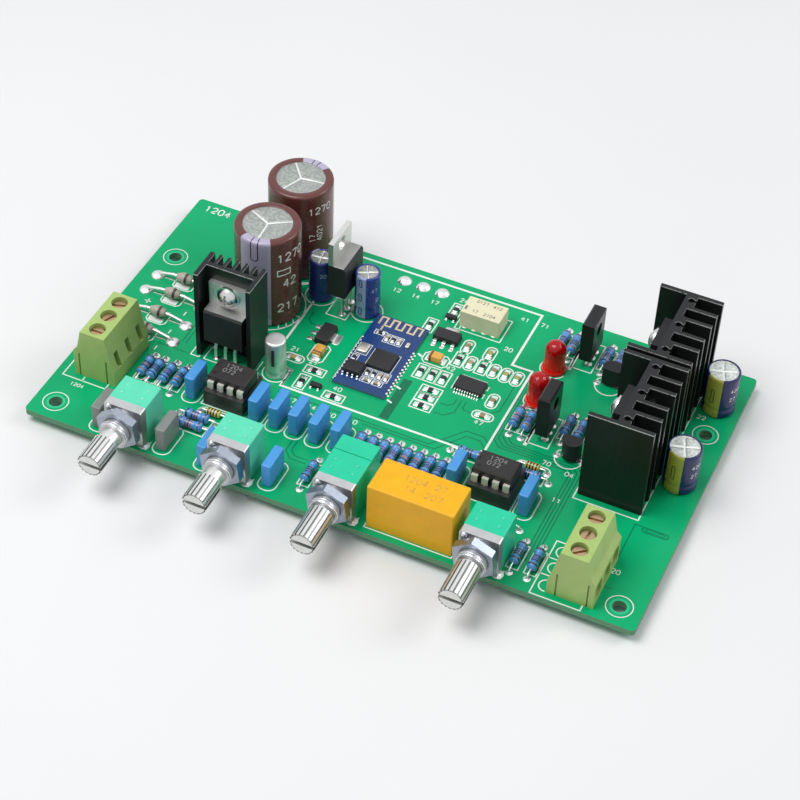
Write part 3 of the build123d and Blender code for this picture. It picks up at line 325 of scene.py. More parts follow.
def solder_mask():
    f = Finish("solder_mask")
    at = f.at()
    clouds = f.noise(at, 0.06, 4.0, 0.5)
    green = f.mix(clouds, (0.001, 0.330, 0.122), (0.002, 0.430, 0.172))
    for hole in corner_holes:
        ring = f.band(f.reach(f.at((*hole, 0)), (1, 1, 0)), HOLE_RADIUS, RING_RADIUS, 0.05)
        green = f.mix(ring, green, (0.030, 0.520, 0.250))
    fine = f.noise(at, 2.2, 3.0)
    edge = f.sideways()
    layers = f.noise(f.stretch(at, (0.6, 0.6, 9.0)), 1.0, 3.0)
    laminate = f.mix(layers, (0.08, 0.22, 0.12), (0.19, 0.36, 0.22))
    rough = f.blend(edge, f.blend(fine, 0.20, 0.30), 0.75)
    height = f.plus(fine, f.times(clouds, 2.0))
    tone = f.mix(edge, green, laminate)
    return f.done(tone, rough, 0.0, f.bump(height, 0.006), **{"Specular IOR Level": 0.2})


dress(solder_mask(), "circuit_board")
print("board dressed")

# %% [markdown]
# ## Red lamps
# A lamp is cast in clear red resin with a small cup inside. Light gathers in the flange and lower wall, so
# they glow, and the dome looks darker. That glow and shade are painted into the colour: it runs from a bright
# red at the foot to a dark red at the dome with the height. The finish also lets light in below the skin;
# under the board it turns to the tin of the legs.

# %% Lamp finish
LAMP_BASE, LAMP_DOME = 1.5, 7.0
RESIN_GLOW = {"Subsurface Weight": 0.85, "Subsurface Scale": 0.003, "Specular IOR Level": 0.35}


def lamp_resin():
    f = Finish("lamp_resin")
    z = f.split(f.at())[2]
    # painted glow and shade: bright red low on the lamp, dark red on the dome, by height only
    red = f.mix(f.rise(z, LAMP_BASE, LAMP_DOME), (0.900, 0.012, 0.008), (0.420, 0.003, 0.005))
    leg = f.under(z, 0.0)
    ripple = f.noise(f.at(), 0.9, 2.0)
    rough = f.blend(leg, f.blend(ripple, 0.06, 0.12), LEG_ROUGH)
    return f.done(f.mix(leg, red, TINNED), rough, leg, f.bump(ripple, 0.02), **RESIN_GLOW)


dress(lamp_resin(), "red_lamps")
print("lamps dressed")

# %% [markdown]
# ## Knurled shafts
# A knurled shaft is turned aluminium, so its crests are bright and its valleys hold shadow and dust. The
# finish measures each point's distance from its own shaft's axis: near the rim it is bare metal, deeper it
# is darker.

# %% Shaft finish
pots = [26.1, 52.3, 78.5, 113.3]
POT_AXIS, SHAFT_RADIUS, TOOTH_DEPTH = 6.4, 3.0, 0.3


def turned_aluminium(name, x):
    # A knurled shaft is turned aluminium, so its crests are bright and its valleys hold shadow. The finish
    # measures each point's distance from its own shaft's axis: near the rim it is bare metal, deeper it is
    # painted dark grey, a painted shade in the valleys.
    f = Finish(name)
    at = f.at((x, 0, POT_AXIS))
    depth = f.minus(SHAFT_RADIUS, f.reach(at, (1, 0, 1)))
    # painted shade: points deep between the teeth are painted dark grey
    valley_shade = f.band(depth, TOOTH_DEPTH * 0.35, TOOTH_DEPTH * 1.4, 0.06)
    lathe = f.noise(f.stretch(at, (0.4, 3.0, 0.4)), 1.5, 4.0, 0.6)
    bare = f.mix(f.noise(at, 0.6, 3.0), (0.64, 0.65, 0.63), (0.78, 0.78, 0.76))
    tone = f.mix(valley_shade, bare, (0.26, 0.27, 0.26))
    return f.done(tone, f.blend(lathe, 0.34, 0.46), 1.0, f.bump(lathe, 0.012))


for n, x in enumerate(pots, start=1):
    dress(turned_aluminium(f"turned_aluminium_{n}", x), f"pot_shaft_{n}")
print("shafts dressed:", len(pots))

# %% [markdown]
# ## Anodised heatsinks
# Extruded fins carry fine lines along the direction they were pushed. They are dyed black after cutting,
# and the sawn tops look greyer than the sides. A thin pale band, broken up by noise and a little metallic, is
# painted along the top edges of the side faces: a painted highlight.

# %% Heatsink finish
SINK_TOP = 25.4


def anodised():
    f = Finish("anodised_black")
    at = f.at()
    lines = f.noise(f.stretch(at, (1.0, 1.0, 0.03)), 4.0, 4.0, 0.7)
    top = f.over(f.upward(), 0.5)
    # painted highlight: a thin pale band just under the top of the side faces, in patches
    rim = f.times(f.rest(top), f.rise(f.split(at)[2], SINK_TOP - 0.34, SINK_TOP - 0.22))
    edge_highlight = f.times(rim, f.rise(f.noise(at, 1.6, 5.0, 0.7), 0.30, 0.50))
    black = f.mix(lines, (0.005, 0.006, 0.006), (0.014, 0.017, 0.016))
    tone = f.mix(edge_highlight, f.mix(top, black, (0.012, 0.014, 0.014)), (0.62, 0.63, 0.61))
    rough = f.blend(edge_highlight, f.blend(lines, 0.24, 0.36), 0.6)
    return f.done(tone, rough, f.times(edge_highlight, 0.3), f.bump(lines, 0.02), **DULL)


dress(anodised(), "left_heatsink", "front_heatsink", "rear_heatsink")
print("heatsinks dressed")

# %% [markdown]
# ## Power packages and amplifier chips
# A power regulator is a black moulded block on a tinned copper tab. Both are one CAD node, so the finish
# decides by height: legs below the body and the bare tab above it are metal, the block between is resin.
# On an amplifier chip it decides by the distance from the middle line instead.

# %% Package finishes
TAB_BODY, NO_TAB = 9.2, 60.0
CHIP_HALF_WIDTH = 3.2
amplifier_chips = [(41.2, 25.1), (107.5, 25.1)]


def power_package(name, bottom, top):
    """Resin between two heights, and brushed metal above and below."""
    f = Finish(name)
    at = f.at()
    resin = f.band(f.split(at)[2], bottom, top, 0.03)
    speck = f.noise(at, 6.0, 3.0)
    brushed = f.noise(f.stretch(at, (1.0, 1.0, 0.2)), 2.5, 4.0, 0.65)
    metal = f.mix(brushed, (0.60, 0.60, 0.57), (0.80, 0.80, 0.77))
    tone = f.mix(resin, metal, f.mix(speck, (0.010, 0.010, 0.011), (0.022, 0.022, 0.023)))
    rough = f.blend(resin, f.blend(brushed, 0.34, 0.46), f.blend(speck, 0.40, 0.52))
    return f.done(tone, rough, f.rest(resin), f.bump(speck, 0.006), **DULL)


dress(power_package("left_package", 5.8, 5.8 + TAB_BODY), "left_regulator")
dress(power_package("free_package", 7.5, 7.5 + TAB_BODY), "free_regulator")
dress(power_package("full_package", 5.8, NO_TAB), "right_regulators")


def chip_package(name, x, y):
    """Black resin with a parting line and a moulded dot, and tinned legs outside the body's width."""
    f = Finish(name)
    at = f.at((x, y, 0))
    leg = f.ends(f.split(at)[1], CHIP_HALF_WIDTH)
    parting = f.band(f.split(at)[2], 6.24, 6.36)
    dot = f.under(f.reach(f.at((x - 3.6, y - 1.9, 0)), (1, 1, 0)), 0.5)
    speck = f.noise(at, 5.0, 3.0)
    clouds = f.noise(at, 0.8, 4.0)
    resin = f.mix(clouds, (0.016, 0.014, 0.014), (0.032, 0.029, 0.028))
    resin = f.mix(f.math("MAXIMUM", parting, dot), resin, (0.006, 0.006, 0.006))
    metal = f.mix(clouds, (0.80, 0.76, 0.66), (0.93, 0.91, 0.84))
    rough = f.blend(leg, f.blend(speck, 0.42, 0.55), 0.32)
    return f.done(f.mix(leg, resin, metal), rough, f.times(leg, 0.45), f.bump(speck, 0.008), **DULL)


for side, place in zip(("left", "right"), amplifier_chips):
    dress(chip_package(f"{side}_chip_package", *place), f"{side}_amplifier_chip")
print("packages dressed")

# %% [markdown]
# ## Surfaces from arrays
# Every new piece is a skin over a grid of points, worked out with numpy in one go. Three makers cover them
# all. A turned profile gives cans and solder, a profile carried along a path gives wires and printed lines,
# and stacked outlines give moulded blocks. A shape also remembers each point's place on its own copy, so that
# bands and marks can be painted on the copies later.

# %% Shape and skin
class Shape:
    """Points in millimetres and tables of face corners, with each point's own place and copy number."""

    def __init__(self, points, tables, own=None, number=None):
        self.points = np.asarray(points, float).reshape(-1, 3)
        self.tables = tables
        self.own = self.points if own is None else own
        self.number = np.zeros(len(self.points)) if number is None else number


def skin(rows, ring=False):
    """Quads between neighbouring rows and columns. Columns close round; rows get lids at the ends or join."""
    count, around = rows.shape[:2]
    i, j = np.meshgrid(np.arange(count if ring else count - 1), np.arange(around), indexing="ij")
    corners = ((i, j), (i, j + 1), (i + 1, j + 1), (i + 1, j))
    quads = np.stack([(a % count) * around + b % around for a, b in corners], -1).reshape(-1, 4)
    edge = np.arange(around)
    lids = [] if ring else [np.stack([edge[::-1], edge + (count - 1) * around])]
    return Shape(rows, [quads, *lids])


def joined(shapes):
    """One shape of several, with their own places and numbers kept."""
    starts = np.cumsum([0] + [len(s.points) for s in shapes[:-1]])
    tables = [table + start for s, start in zip(shapes, starts) for table in s.tables]
    parts = [np.concatenate([getattr(s, key) for s in shapes]) for key in ("points", "own", "number")]
    return Shape(parts[0], tables, *parts[1:])


def one(*shapes):
    """One shape of several, whose own places start again from its origin."""
    whole = joined(shapes)
    return Shape(whole.points, whole.tables)


def placed(shape, places, turns=0.0, first=0):
    """Copies: point = own point turned about the upright axis, plus the copy's place."""
    places = np.atleast_2d(np.asarray(places, float))
    if places.shape[1] == 2:
        places = np.column_stack([places, np.zeros(len(places))])
    angle = np.radians(np.broadcast_to(turns, len(places)))[:, None]
    x, y, z = shape.points.T
    turned_x = x * np.cos(angle) - y * np.sin(angle)
    turned_y = x * np.sin(angle) + y * np.cos(angle)
    points = np.stack(np.broadcast_arrays(turned_x, turned_y, z), -1) + places[:, None]
    shifts = np.arange(len(places))[:, None, None] * len(x)
    tables = [(table + shifts).reshape(-1, table.shape[1]) for table in shape.tables]
    number = np.repeat(np.arange(len(places)) + first, len(x)).astype(float)
    return Shape(points, tables, np.tile(shape.own, (len(places), 1)), number)


def laid(shape):
    """The upright axis laid along x: (x, y, z) becomes (z, y, -x)."""
    x, y, z = shape.points.T
    return Shape(np.stack([z, y, -x], -1), shape.tables)


def piece(name, shapes, material, replaces=(), angle=38):
    """Puts shapes into one mesh object, smooth except at sharp corners, and rides it on the board."""
    whole = joined(shapes)
    mesh = bpy.data.meshes.new(name)
    mesh.from_pydata(to_frame(whole.points), [], [face for table in whole.tables for face in table.tolist()])
    mesh.attributes.new("local", "FLOAT_VECTOR", "POINT").data.foreach_set("vector", whole.own.ravel())
    mesh.attributes.new("number", "FLOAT", "POINT").data.foreach_set("value", whole.number)
    mesh.shade_smooth()
    mesh.set_sharp_from_angle(angle=math.radians(angle))
    mesh.materials.append(material)
    made = bpy.data.objects.new(name, mesh)
    bpy.context.scene.collection.objects.link(made)
    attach(made, "board")
    if replaces:
        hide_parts(*replaces)
    print(f"{name}: {len(mesh.polygons)} faces")


print("surface kit ready")

# %% The three makers
def spun(radius, height, sides):
    """Point = (r cos a, r sin a, h). Radius and height are columns, or tables with a value for each angle."""
    angle = np.linspace(0, 2 * np.pi, sides, endpoint=False)
    return np.stack(np.broadcast_arrays(radius * np.cos(angle), radius * np.sin(angle), height), -1)


def turned(profile, sides):
    """A profile of radius and height that goes round the upright axis."""
    return skin(spun(*np.asarray(profile, float).T[..., None], sides))


def carried(path, profile, up=(0, 0, 1), ring=False):
    """Point = path + side n + rise b. b is up, n = b x t, and t halves the angle between two legs of the
    path. At a corner the side is stretched by 1 / cos(half the turn), so the width stays the same."""
    path, up = np.asarray(path, float), np.asarray(up, float)
    legs = np.roll(path, -1, 0) - path
    if not ring:
        legs[-1] = legs[-2]
    legs /= np.linalg.norm(legs, axis=1)[:, None]
    before = np.roll(legs, 1, 0)
    if not ring:
        before[0] = legs[0]
    along = legs + before
    along /= np.linalg.norm(along, axis=1)[:, None]
    side = np.cross(up, along) / (along * legs).sum(1)[:, None]
    across, rise = np.asarray(profile, float).T[..., None]
    return skin(path[:, None] + side[:, None] * across + up * rise, ring)


def block(size, corner=0.2, edge=0.1, taper=0.0, steps=4):
    """Outlines stacked upwards. Level h has the inset d = edge (1 - sin) or edge (1 - cos) of a quarter turn
    at either end, plus its share of the taper; its corners are arcs of radius corner - d."""
    length, width, height = size
    turn = np.linspace(0, np.pi / 2, steps)
    inset = edge * np.concatenate([1 - np.sin(turn), 1 - np.cos(turn)])
    level = np.concatenate([edge * (1 - np.cos(turn)), height - edge * (1 - np.sin(turn))])
    reach = (corner - inset - taper * level / height)[:, None]
    angle = (np.arange(4)[:, None] * np.pi / 2 + turn).ravel()
    side_x = np.repeat([1, -1, -1, 1], steps) * (length / 2 - corner)
    side_y = np.repeat([1, 1, -1, -1], steps) * (width / 2 - corner)
    rows = np.broadcast_arrays(side_x + reach * np.cos(angle), side_y + reach * np.sin(angle), level[:, None])
    return skin(np.stack(rows, -1))


def blocks(size, places, *shape):
    """Blocks of one size; shape is corner, edge, taper and steps."""
    return placed(block(size, *shape), places)


def eased(corners, bend, steps=5):
    """A path with rounded corners: each is a parabola (1-t)^2 a + 2t(1-t) b + t^2 c that starts bend away."""
    corners = np.asarray(corners, float)
    a, b, c = corners[:-2], corners[1:-1], corners[2:]
    into = b + (a - b) / np.linalg.norm(a - b, axis=1)[:, None] * bend
    away = b + (c - b) / np.linalg.norm(c - b, axis=1)[:, None] * bend
    t = np.linspace(0, 1, steps)[:, None, None]
    curve = (1 - t) ** 2 * into + 2 * t * (1 - t) * b + t**2 * away
    return np.vstack([corners[:1], curve.transpose(1, 0, 2).reshape(-1, 3), corners[-1:]])


def flat(width, height):
    """A flat profile for printed lines and legs: it stands on the path."""
    return [(-width / 2, 0), (width / 2, 0), (width / 2, height), (-width / 2, height)]


def dome(radius, height, steps):
    """The profile of a low dome, from its foot nearly to its top."""
    return [(radius * math.cos(t), height * math.sin(t)) for t in np.linspace(0, 1.5, steps)]


print("makers: turned, carried, block")

# %% [markdown]
# ## Metal film resistors
# Twenty-eight resistors lie across the board. Each one is a ceramic rod with two pressed end caps under blue
# lacquer, which makes the dog-bone shape, and its value is painted on as five rings. One rod is a turned
# profile, laid on its side and copied, and the rings are a finish that reads each point's own place. The
# colours of the rings are drawn from the copy's number, so no two neighbours need be the same.

# %% Resistor places and shape
ROD_HALF, ROD_END, ROD_WAIST, ROD_LIFT = 3.15, 1.2, 0.98, 1.3
PAD_HALF, LEAD_END, THIN_WIRE = 5.0, -3.2, 0.27
ROW_PITCH = 2.87
row_rods = [(x, 24.0) for x in (18.6, 21.2, 24.4, 27.6)] + [(74.3 + ROW_PITCH * k, 23.4) for k in range(8)]
lone_rods = [(68.3, 10.4), (119.8, 8.6), (124.0, 8.6), (103.7, 47.2), (106.7, 47.2), (103.7, 76.2),
             (106.7, 76.2), (115.4, 49.8), (118.6, 49.8), (115.4, 75.5), (118.6, 76.2)]
upright_rods = row_rods + lone_rods
level_rods = [(37.4, 14.5), (37.3, 11.5), (98.6, 31.6), (112.8, 31.6), (112.3, 15.7)]


def rod_profile():
    """Radius along the rod: the waist swells to the caps by a smooth step, then closes as a quarter round."""
    h = np.linspace(-ROD_HALF, ROD_HALF, 33)
    swell = np.clip((abs(h) - 1.1) / 0.7, 0, 1)
    close = np.clip((abs(h) - 2.45) / 0.7, 0, 1)
    radius = ROD_WAIST + (ROD_END - ROD_WAIST) * swell**2 * (3 - 2 * swell)
    return np.stack([radius * np.sqrt(1 - 0.93 * close**2), h], -1)


def both_leads(path, radius, bend):
    """A round wire along an eased path, and its twin on the other side."""
    wire = carried(eased(path, bend), spun(radius, 0, 10)[..., :2], up=(0, 1, 0))
    return one(wire, placed(wire, [(0, 0)], 180))


def bent_leads(start, reach, lift, bend):
    """Two wires that leave a body sideways at height lift and go down through the board at x = reach."""
    return both_leads([(start, 0, lift), (reach, 0, lift), (reach, 0, LEAD_END)], THIN_WIRE, bend)


rod = laid(turned(rod_profile(), 20))
rod_spots = [(x, y, ROD_LIFT) for x, y in upright_rods + level_rods]
rod_turns = [90] * len(upright_rods) + [0] * len(level_rods)
print("resistors:", len(rod_spots))

# %% Resistor finish
ROD_RINGS = (-2.3, -0.95, -0.3, 0.35, 2.3)
RING_COLOURS = [(0.0, (0.05, 0.018, 0.030)), (0.22, (0.008, 0.008, 0.022)), (0.48, (0.110, 0.045, 0.210)),
                (0.70, (0.24, 0.03, 0.06)), (0.78, (0.012, 0.020, 0.120)), (0.96, (0.36, 0.12, 0.05))]


def ringed_lacquer(name, body, rings, last, colours):
    """Lacquer with painted rings at the given places along the body; last is the colour of the last ring."""
    f = Finish(name)
    own = f.own()
    thick = f.noise(own, 1.3, 3.0)
    tone = f.mix(thick, tint(body, 0.8), tint(body, 1.2))
    ragged = f.math("MULTIPLY_ADD", f.noise(own, 3.0), 0.12, f.minus(f.split(own)[0], 0.06))
    for k, place in enumerate(rings):
        paint = last if k == len(rings) - 1 else f.choose(f.draw(7.3 * k + 0.5), colours)
        tone = f.mix(f.band(ragged, place - 0.2, place + 0.2), tone, paint)
    return f.done(tone, f.blend(thick, 0.24, 0.38), 0.0, f.bump(thick, 0.02),
                  **{"Coat Weight": 0.4, "Coat Roughness": 0.15})


blue_lacquer = ringed_lacquer("blue_lacquer", (0.070, 0.270, 0.590), ROD_RINGS, (0.09, 0.03, 0.05),
                              RING_COLOURS)
piece("resistor_rods", [placed(rod, rod_spots, rod_turns)], blue_lacquer, ["resistors"])

# %% [markdown]
# ## Chokes and diodes
# The two chokes are the same idea with a fatter, shorter body in yellow lacquer with black rings. The four
# rectifier diodes are grey moulded barrels with one band at the cathode, and thicker leads.

# %% Chokes and diodes
CHOKE_PADS, CHOKE_LIFT, DIODE_PADS, DIODE_LIFT = 3.5, 1.1, 7.5, 1.9
CHOKE_RINGS = (-1.15, -0.45, 0.25, 1.05)
CHOKE_COLOURS = [(0.0, (0.012, 0.010, 0.010)), (0.6, (0.05, 0.015, 0.008))]
chokes = [(40.3, 17.3), (112.8, 34.3)]
diodes = [(12.3, y) for y in (34.8, 41.2, 48.5, 54.5)]


def barrels(places, lift, half, radius, rounding, end):
    """Radius along a barrel: it swells from end to radius by a cosine, and is closed at both ends by
    sqrt(1 - c^2), where c runs over the rounding."""
    h = np.linspace(-half, half, 29)
    close = np.clip((abs(h) - half + rounding) / rounding, 0, 1)
    swell = end + (radius - end) * (1 + np.cos(np.pi * np.clip(abs(h) / half * 1.15 - 0.12, 0, 1))) / 2
    shape = laid(turned(np.stack([swell * np.sqrt(1 - 0.85 * close**2), h], -1), 24))
    return [placed(shape, [(*spot, lift) for spot in places])]


def diode_resin():
    """Grey resin in soft clouds of tone, with a dark cathode band."""
    f = Finish("diode_resin")
    own = f.own()
    clouds = f.noise(own, 1.5, 4.0)
    tone = f.mix(clouds, (0.34, 0.31, 0.26), (0.50, 0.46, 0.40))
    tone = f.mix(f.band(f.split(own)[0], 0.35, 1.0), tone, (0.05, 0.04, 0.035))
    return f.done(tone, f.blend(clouds, 0.38, 0.5), 0.0, f.bump(clouds, 0.02))


choke_lacquer = ringed_lacquer("choke_lacquer", (0.600, 0.520, 0.110), CHOKE_RINGS, (0.01, 0.01, 0.01),
                               CHOKE_COLOURS)
piece("choke_barrels", barrels(chokes, CHOKE_LIFT, 1.8, 0.92, 0.5, 0.92), choke_lacquer,
      ["banded_chokes"])
piece("diode_barrels", barrels(diodes, DIODE_LIFT, 2.2, 1.38, 0.3, 0.85), diode_resin(),
      ["rectifier_diodes"])

# %% [markdown]
# ## Tinned leads
# The wires of all these parts leave the ends of the bodies, bend down and go through the board. Each is a
# round profile carried along a path whose corners are eased into short curves, as a bending tool leaves them.

# %% Tinned leads
wire_tin = plated("wire_tin", (0.86, 0.86, 0.83), 0.33, grain=1.5)
sagging = [(2.0, 0, DIODE_LIFT), (3.2, 0, DIODE_LIFT), (6.6, 0, 1.1), (DIODE_PADS, 0, 0.4),
           (DIODE_PADS, 0, -3.6)]
piece("tinned_leads", [
    placed(bent_leads(ROD_HALF - 0.15, PAD_HALF, ROD_LIFT, 0.9), [spot[:2] for spot in rod_spots], rod_turns),
    placed(bent_leads(1.7, CHOKE_PADS, CHOKE_LIFT, 0.8), chokes),
    placed(both_leads(sagging, 0.4, 0.35), diodes),
], wire_tin)

# %% [markdown]
# ## Electrolytic cans
# A can is an aluminium cup in a printed sleeve that is shrunk over its edges. The rubber plug is held by a
# pressed bead near the foot, and the top has pressed lines, so that it opens safely if the can fails. One
# surface gives it all: a profile goes round, and on the sunk top the height also depends on the angle.

# %% Can shape
BIG, OUTPUT, STRIPED, NAVY, SILVER = (8.0, 26.2), (4.0, 12.0), (3.15, 13.0), (3.15, 12.5), (2.5, 11.0)
front_can, rear_can = (34.2, 57.0), (33.6, 75.7)
striped_can, navy_can, silver_can = (56.6, 65.6), (44.0, 66.0), (46.5, 36.5)
output_cans = [(144.2, 45.2), (144.3, 72.4)]


def can(radius, height, rays, disc, bead=2.6, sides=72):
    """Wall: r = R - dent exp(-((h - bead) / 0.5)^2). Top: h = sunk - depth exp(-(d / w)^2), where
    d = r |sin a| is the distance to the nearest of the pressed rays. disc is the bare top's share of R."""
    wall = np.linspace(0.5, height - 0.7, 30)
    dent = radius - 0.055 * radius * np.exp(-(((wall - bead) / 0.5) ** 2))
    lip = radius * disc
    shoulder = [radius * 0.985, radius * 0.94, lip + 0.15, lip]
    radii = np.concatenate([[radius * 0.8, radius * 0.96], dent, shoulder])
    levels = np.concatenate([[0.0, 0.12], wall, [height - 0.28, height - 0.05, height, height - 0.10]])
    bare = np.linspace(lip - 0.05, 0.04, 16)
    r = np.concatenate([radii, bare])[:, None]
    h = np.concatenate([levels, np.full(len(bare), height - 0.35)])[:, None]
    part = 2 * np.pi / rays
    nearest = (np.linspace(0, 2 * np.pi, sides, endpoint=False) + part / 2) % part - part / 2
    groove = 0.16 * np.exp(-((r * abs(np.sin(nearest)) / (0.03 * radius + 0.12)) ** 2)) * (r < lip - 0.04)
    return skin(spun(r, h - groove, sides))


print("can shape ready")

# %% [markdown]
# ## Sleeves
# A sleeve is thin glossy film. It is one colour, with a pale stripe down one side that marks the minus lead,
# and on the stripe are long minus loops. The finish finds the stripe from the angle round the can, and the
# bare aluminium top from the height and the radius. The pressed rays on the top are painted pale, as a
# painted highlight.

# %% Sleeve finish
LOOP_LINE = 0.3


def round_arc(f, angle, facing, radius):
    """The way round a can from the direction called facing, in millimetres."""
    return f.times(f.math("WRAP", f.minus(angle, math.radians(facing)), math.pi, -math.pi), radius)


def sleeve(name, size, rays, disc, colour, stripe, mark, facing, width, loops, bright=1.0):
    """Film, stripe, loops and bare top. facing is the stripe's direction in degrees, seen from above; loops
    are the middle of one loop, the pitch to the next, half its straight length and its radius; bright is
    the top's."""
    radius, height = size
    middle, pitch, straight, bend = loops
    f = Finish(name)
    own = f.own()
    x, y, z = f.split(own)
    angle = f.math("ARCTAN2", y, x)
    arc = round_arc(f, angle, facing, radius)
    on_stripe = f.under(f.size(arc), width / 2)
    level = f.math("WRAP", f.minus(z, middle), pitch / 2, -pitch / 2)
    beyond = f.math("MAXIMUM", f.minus(f.size(level), straight), 0.0)
    loop = f.band(f.reach(f.node("CombineXYZ", arc, beyond)), bend - LOOP_LINE, bend)
    clouds = f.noise(own, 0.6, 3.0)
    film = f.mix(on_stripe, f.mix(clouds, tint(colour, 0.85), tint(colour, 1.15)), stripe)
    distance = f.reach(own, (1, 1, 0))
    top = f.times(f.over(z, height - 0.8), f.under(distance, radius * disc - 0.02))
    grain = f.noise(own, 1.6, 5.0, 0.70)
    part = math.pi / rays
    offset = f.size(f.math("SINE", f.math("WRAP", angle, part, -part)))
    # painted highlight: the pressed rays on the bare top are painted pale
    ray = f.under(f.times(distance, offset), 0.018 * radius + 0.06)
    dark, light = tint((0.30, 0.32, 0.30), bright), tint((0.56, 0.58, 0.55), bright)
    bare = f.mix(f.rise(grain, 0.30, 0.78), dark, light)
    tone = f.mix(top, f.mix(loop, film, mark), f.mix(ray, bare, (0.82, 0.82, 0.80)))
    rough = f.blend(top, f.blend(clouds, 0.20, 0.32), f.blend(grain, 0.40, 0.55))
    return f.done(tone, rough, top, f.bump(f.noise(own, 1.2, 2.0), 0.03))


def stand(name, size, rays, disc, places, slot, replaces, turn, facing, **look):
    """Cans of one kind. turn is the first ray's direction and facing the stripe's, both seen from above."""
    finish = sleeve(f"{name}_sleeve", size, rays, disc, facing=facing - turn, **look)
    piece(name, [placed(can(*size, rays, disc), places, turn)], finish, replaces, angle=60)


brown = {"colour": (0.120, 0.034, 0.028), "stripe": (0.44, 0.40, 0.54), "mark": (0.05, 0.03, 0.10),
         "width": 8.0, "loops": (25.0, 60.0, 3.6, 1.05)}
stand("front_big_can", BIG, 3, 0.75, [front_can], "sleeve_brown", ["front_filter_capacitor"], 34, -87,
      **brown)
stand("rear_big_can", BIG, 3, 0.75, [rear_can], "sleeve_brown", ["rear_filter_capacitor"], 8, 83, **brown)
stand("output_cans", OUTPUT, 4, 0.86, output_cans, "sleeve_navy", ["output_capacitors"], 20, -104,
      colour=(0.012, 0.016, 0.110), stripe=(0.36, 0.38, 0.05), mark=(0.10, 0.13, 0.02), width=4.2,
      loops=(6.6, 30.0, 1.6, 0.55), bright=1.6)
stand("striped_can", STRIPED, 4, 0.80, [striped_can], "sleeve_blue", ["small_capacitors"], 30, -100,
      colour=(0.022, 0.050, 0.270), stripe=(0.30, 0.37, 0.58), mark=(0.02, 0.05, 0.22), width=2.9,
      loops=(2.4, 4.4, 0.75, 0.50))
stand("navy_can", NAVY, 4, 0.80, [navy_can], "sleeve_navy", [], 10, 150,
      colour=(0.016, 0.030, 0.185), stripe=(0.30, 0.34, 0.52), mark=(0.02, 0.03, 0.15), width=2.6,
      loops=(2.4, 4.4, 0.75, 0.45))

# %% [markdown]
# ## The bare can
# The smallest can has no sleeve: it is drawn aluminium, closed by a rolled shoulder, with one printed stripe.
# The fine lines of the drawing run up the wall, so its noise is squeezed around and stretched upwards.

# %% Bare can
def bare_profile():
    """Wall and shoulder: straight up, then r = R - s + s cos t and h = H - s + s sin t over the shoulder."""
    radius, height = SILVER
    shoulder = 0.5
    rows = [(radius * 0.8, 0.0), (radius, 0.1), (radius, 1.9), (radius * 0.95, 2.2), (radius, 2.6)]
    rows += [(radius - shoulder + shoulder * math.cos(t), height - shoulder + shoulder * math.sin(t))
             for t in np.linspace(0, np.pi / 2, 7)]
    return rows + [(radius * 0.3, height - 0.06), (0.04, height - 0.06)]


def drawn_aluminium(facing, width):
    """Matte drawn metal with one dark stripe, facing in degrees and width in millimetres."""
    f = Finish("drawn_aluminium")
    own = f.own()
    x, y, z = f.split(own)
    arc = f.size(round_arc(f, f.math("ARCTAN2", y, x), facing, SILVER[0]))
    stripe = f.times(f.under(arc, width / 2), f.band(z, 4.2, SILVER[1] - 1.6))
    drawing = f.noise(f.stretch(own, (2.0, 2.0, 0.15)), 2.5, 3.0, 0.6)
    tone = f.mix(stripe, f.mix(drawing, (0.60, 0.60, 0.58), (0.80, 0.80, 0.78)), (0.03, 0.03, 0.03))
    return f.done(tone, f.blend(drawing, 0.36, 0.50), f.rest(stripe), f.bump(drawing, 0.01))


bare_can = placed(turned(bare_profile(), 56), [silver_can])
piece("silver_can", [bare_can], drawn_aluminium(-78, 0.8), angle=50)

# %% [markdown]
# ## Box film capacitors
# These are small moulded boxes with rounded edges, cast in blue or grey resin. The edges catch the light, so
# a stacked outline with a quarter round at the top does more for them than any texture.

# %% Film boxes
blue_films = [(32.5, 23.3), (49.0, 23.3), (54.2, 23.3), (59.2, 23.3), (64.5, 23.0), (69.9, 23.3), (61.1, 6.4),
              (45.4, 5.3), (98.4, 23.8), (115.9, 23.6)]
grey_films = [(18.15, 5.6), (34.6, 5.7)]


def film_resin(name, colour):
    """Cast resin: soft clouds of tone, and a fine orange peel."""
    f = Finish(name)
    tone = f.mix(f.noise(f.at(), 0.4, 4.0), tint(colour, 0.86), tint(colour, 1.14))
    peel = f.noise(f.own(), 2.5, 3.0)
    return f.done(tone, f.blend(peel, 0.26, 0.40), 0.0, f.bump(peel, 0.015))


for kind, places, colour, node in (("blue", blue_films, (0.060, 0.300, 0.680), "film_capacitors"),
                                   ("grey", grey_films, (0.215, 0.225, 0.215), "grey_film_capacitors")):
    bodies = [blocks((2.5, 7.2, 6.5), places, 0.45, 0.3, 0.04, 5)]
    piece(f"{kind}_film_boxes", bodies, film_resin(f"{kind}_film", colour), [node])

# %% [markdown]
# ## Surface parts
# The small parts are soldered flat. Chip resistors and capacitors are blocks with tinned ends on tinned pads.
# The larger chips stand on gull legs: a flat strip that leaves the body, bends down and runs out along the
# pad. The strip is a flat profile carried along a short path, and the bodies are stacked outlines.

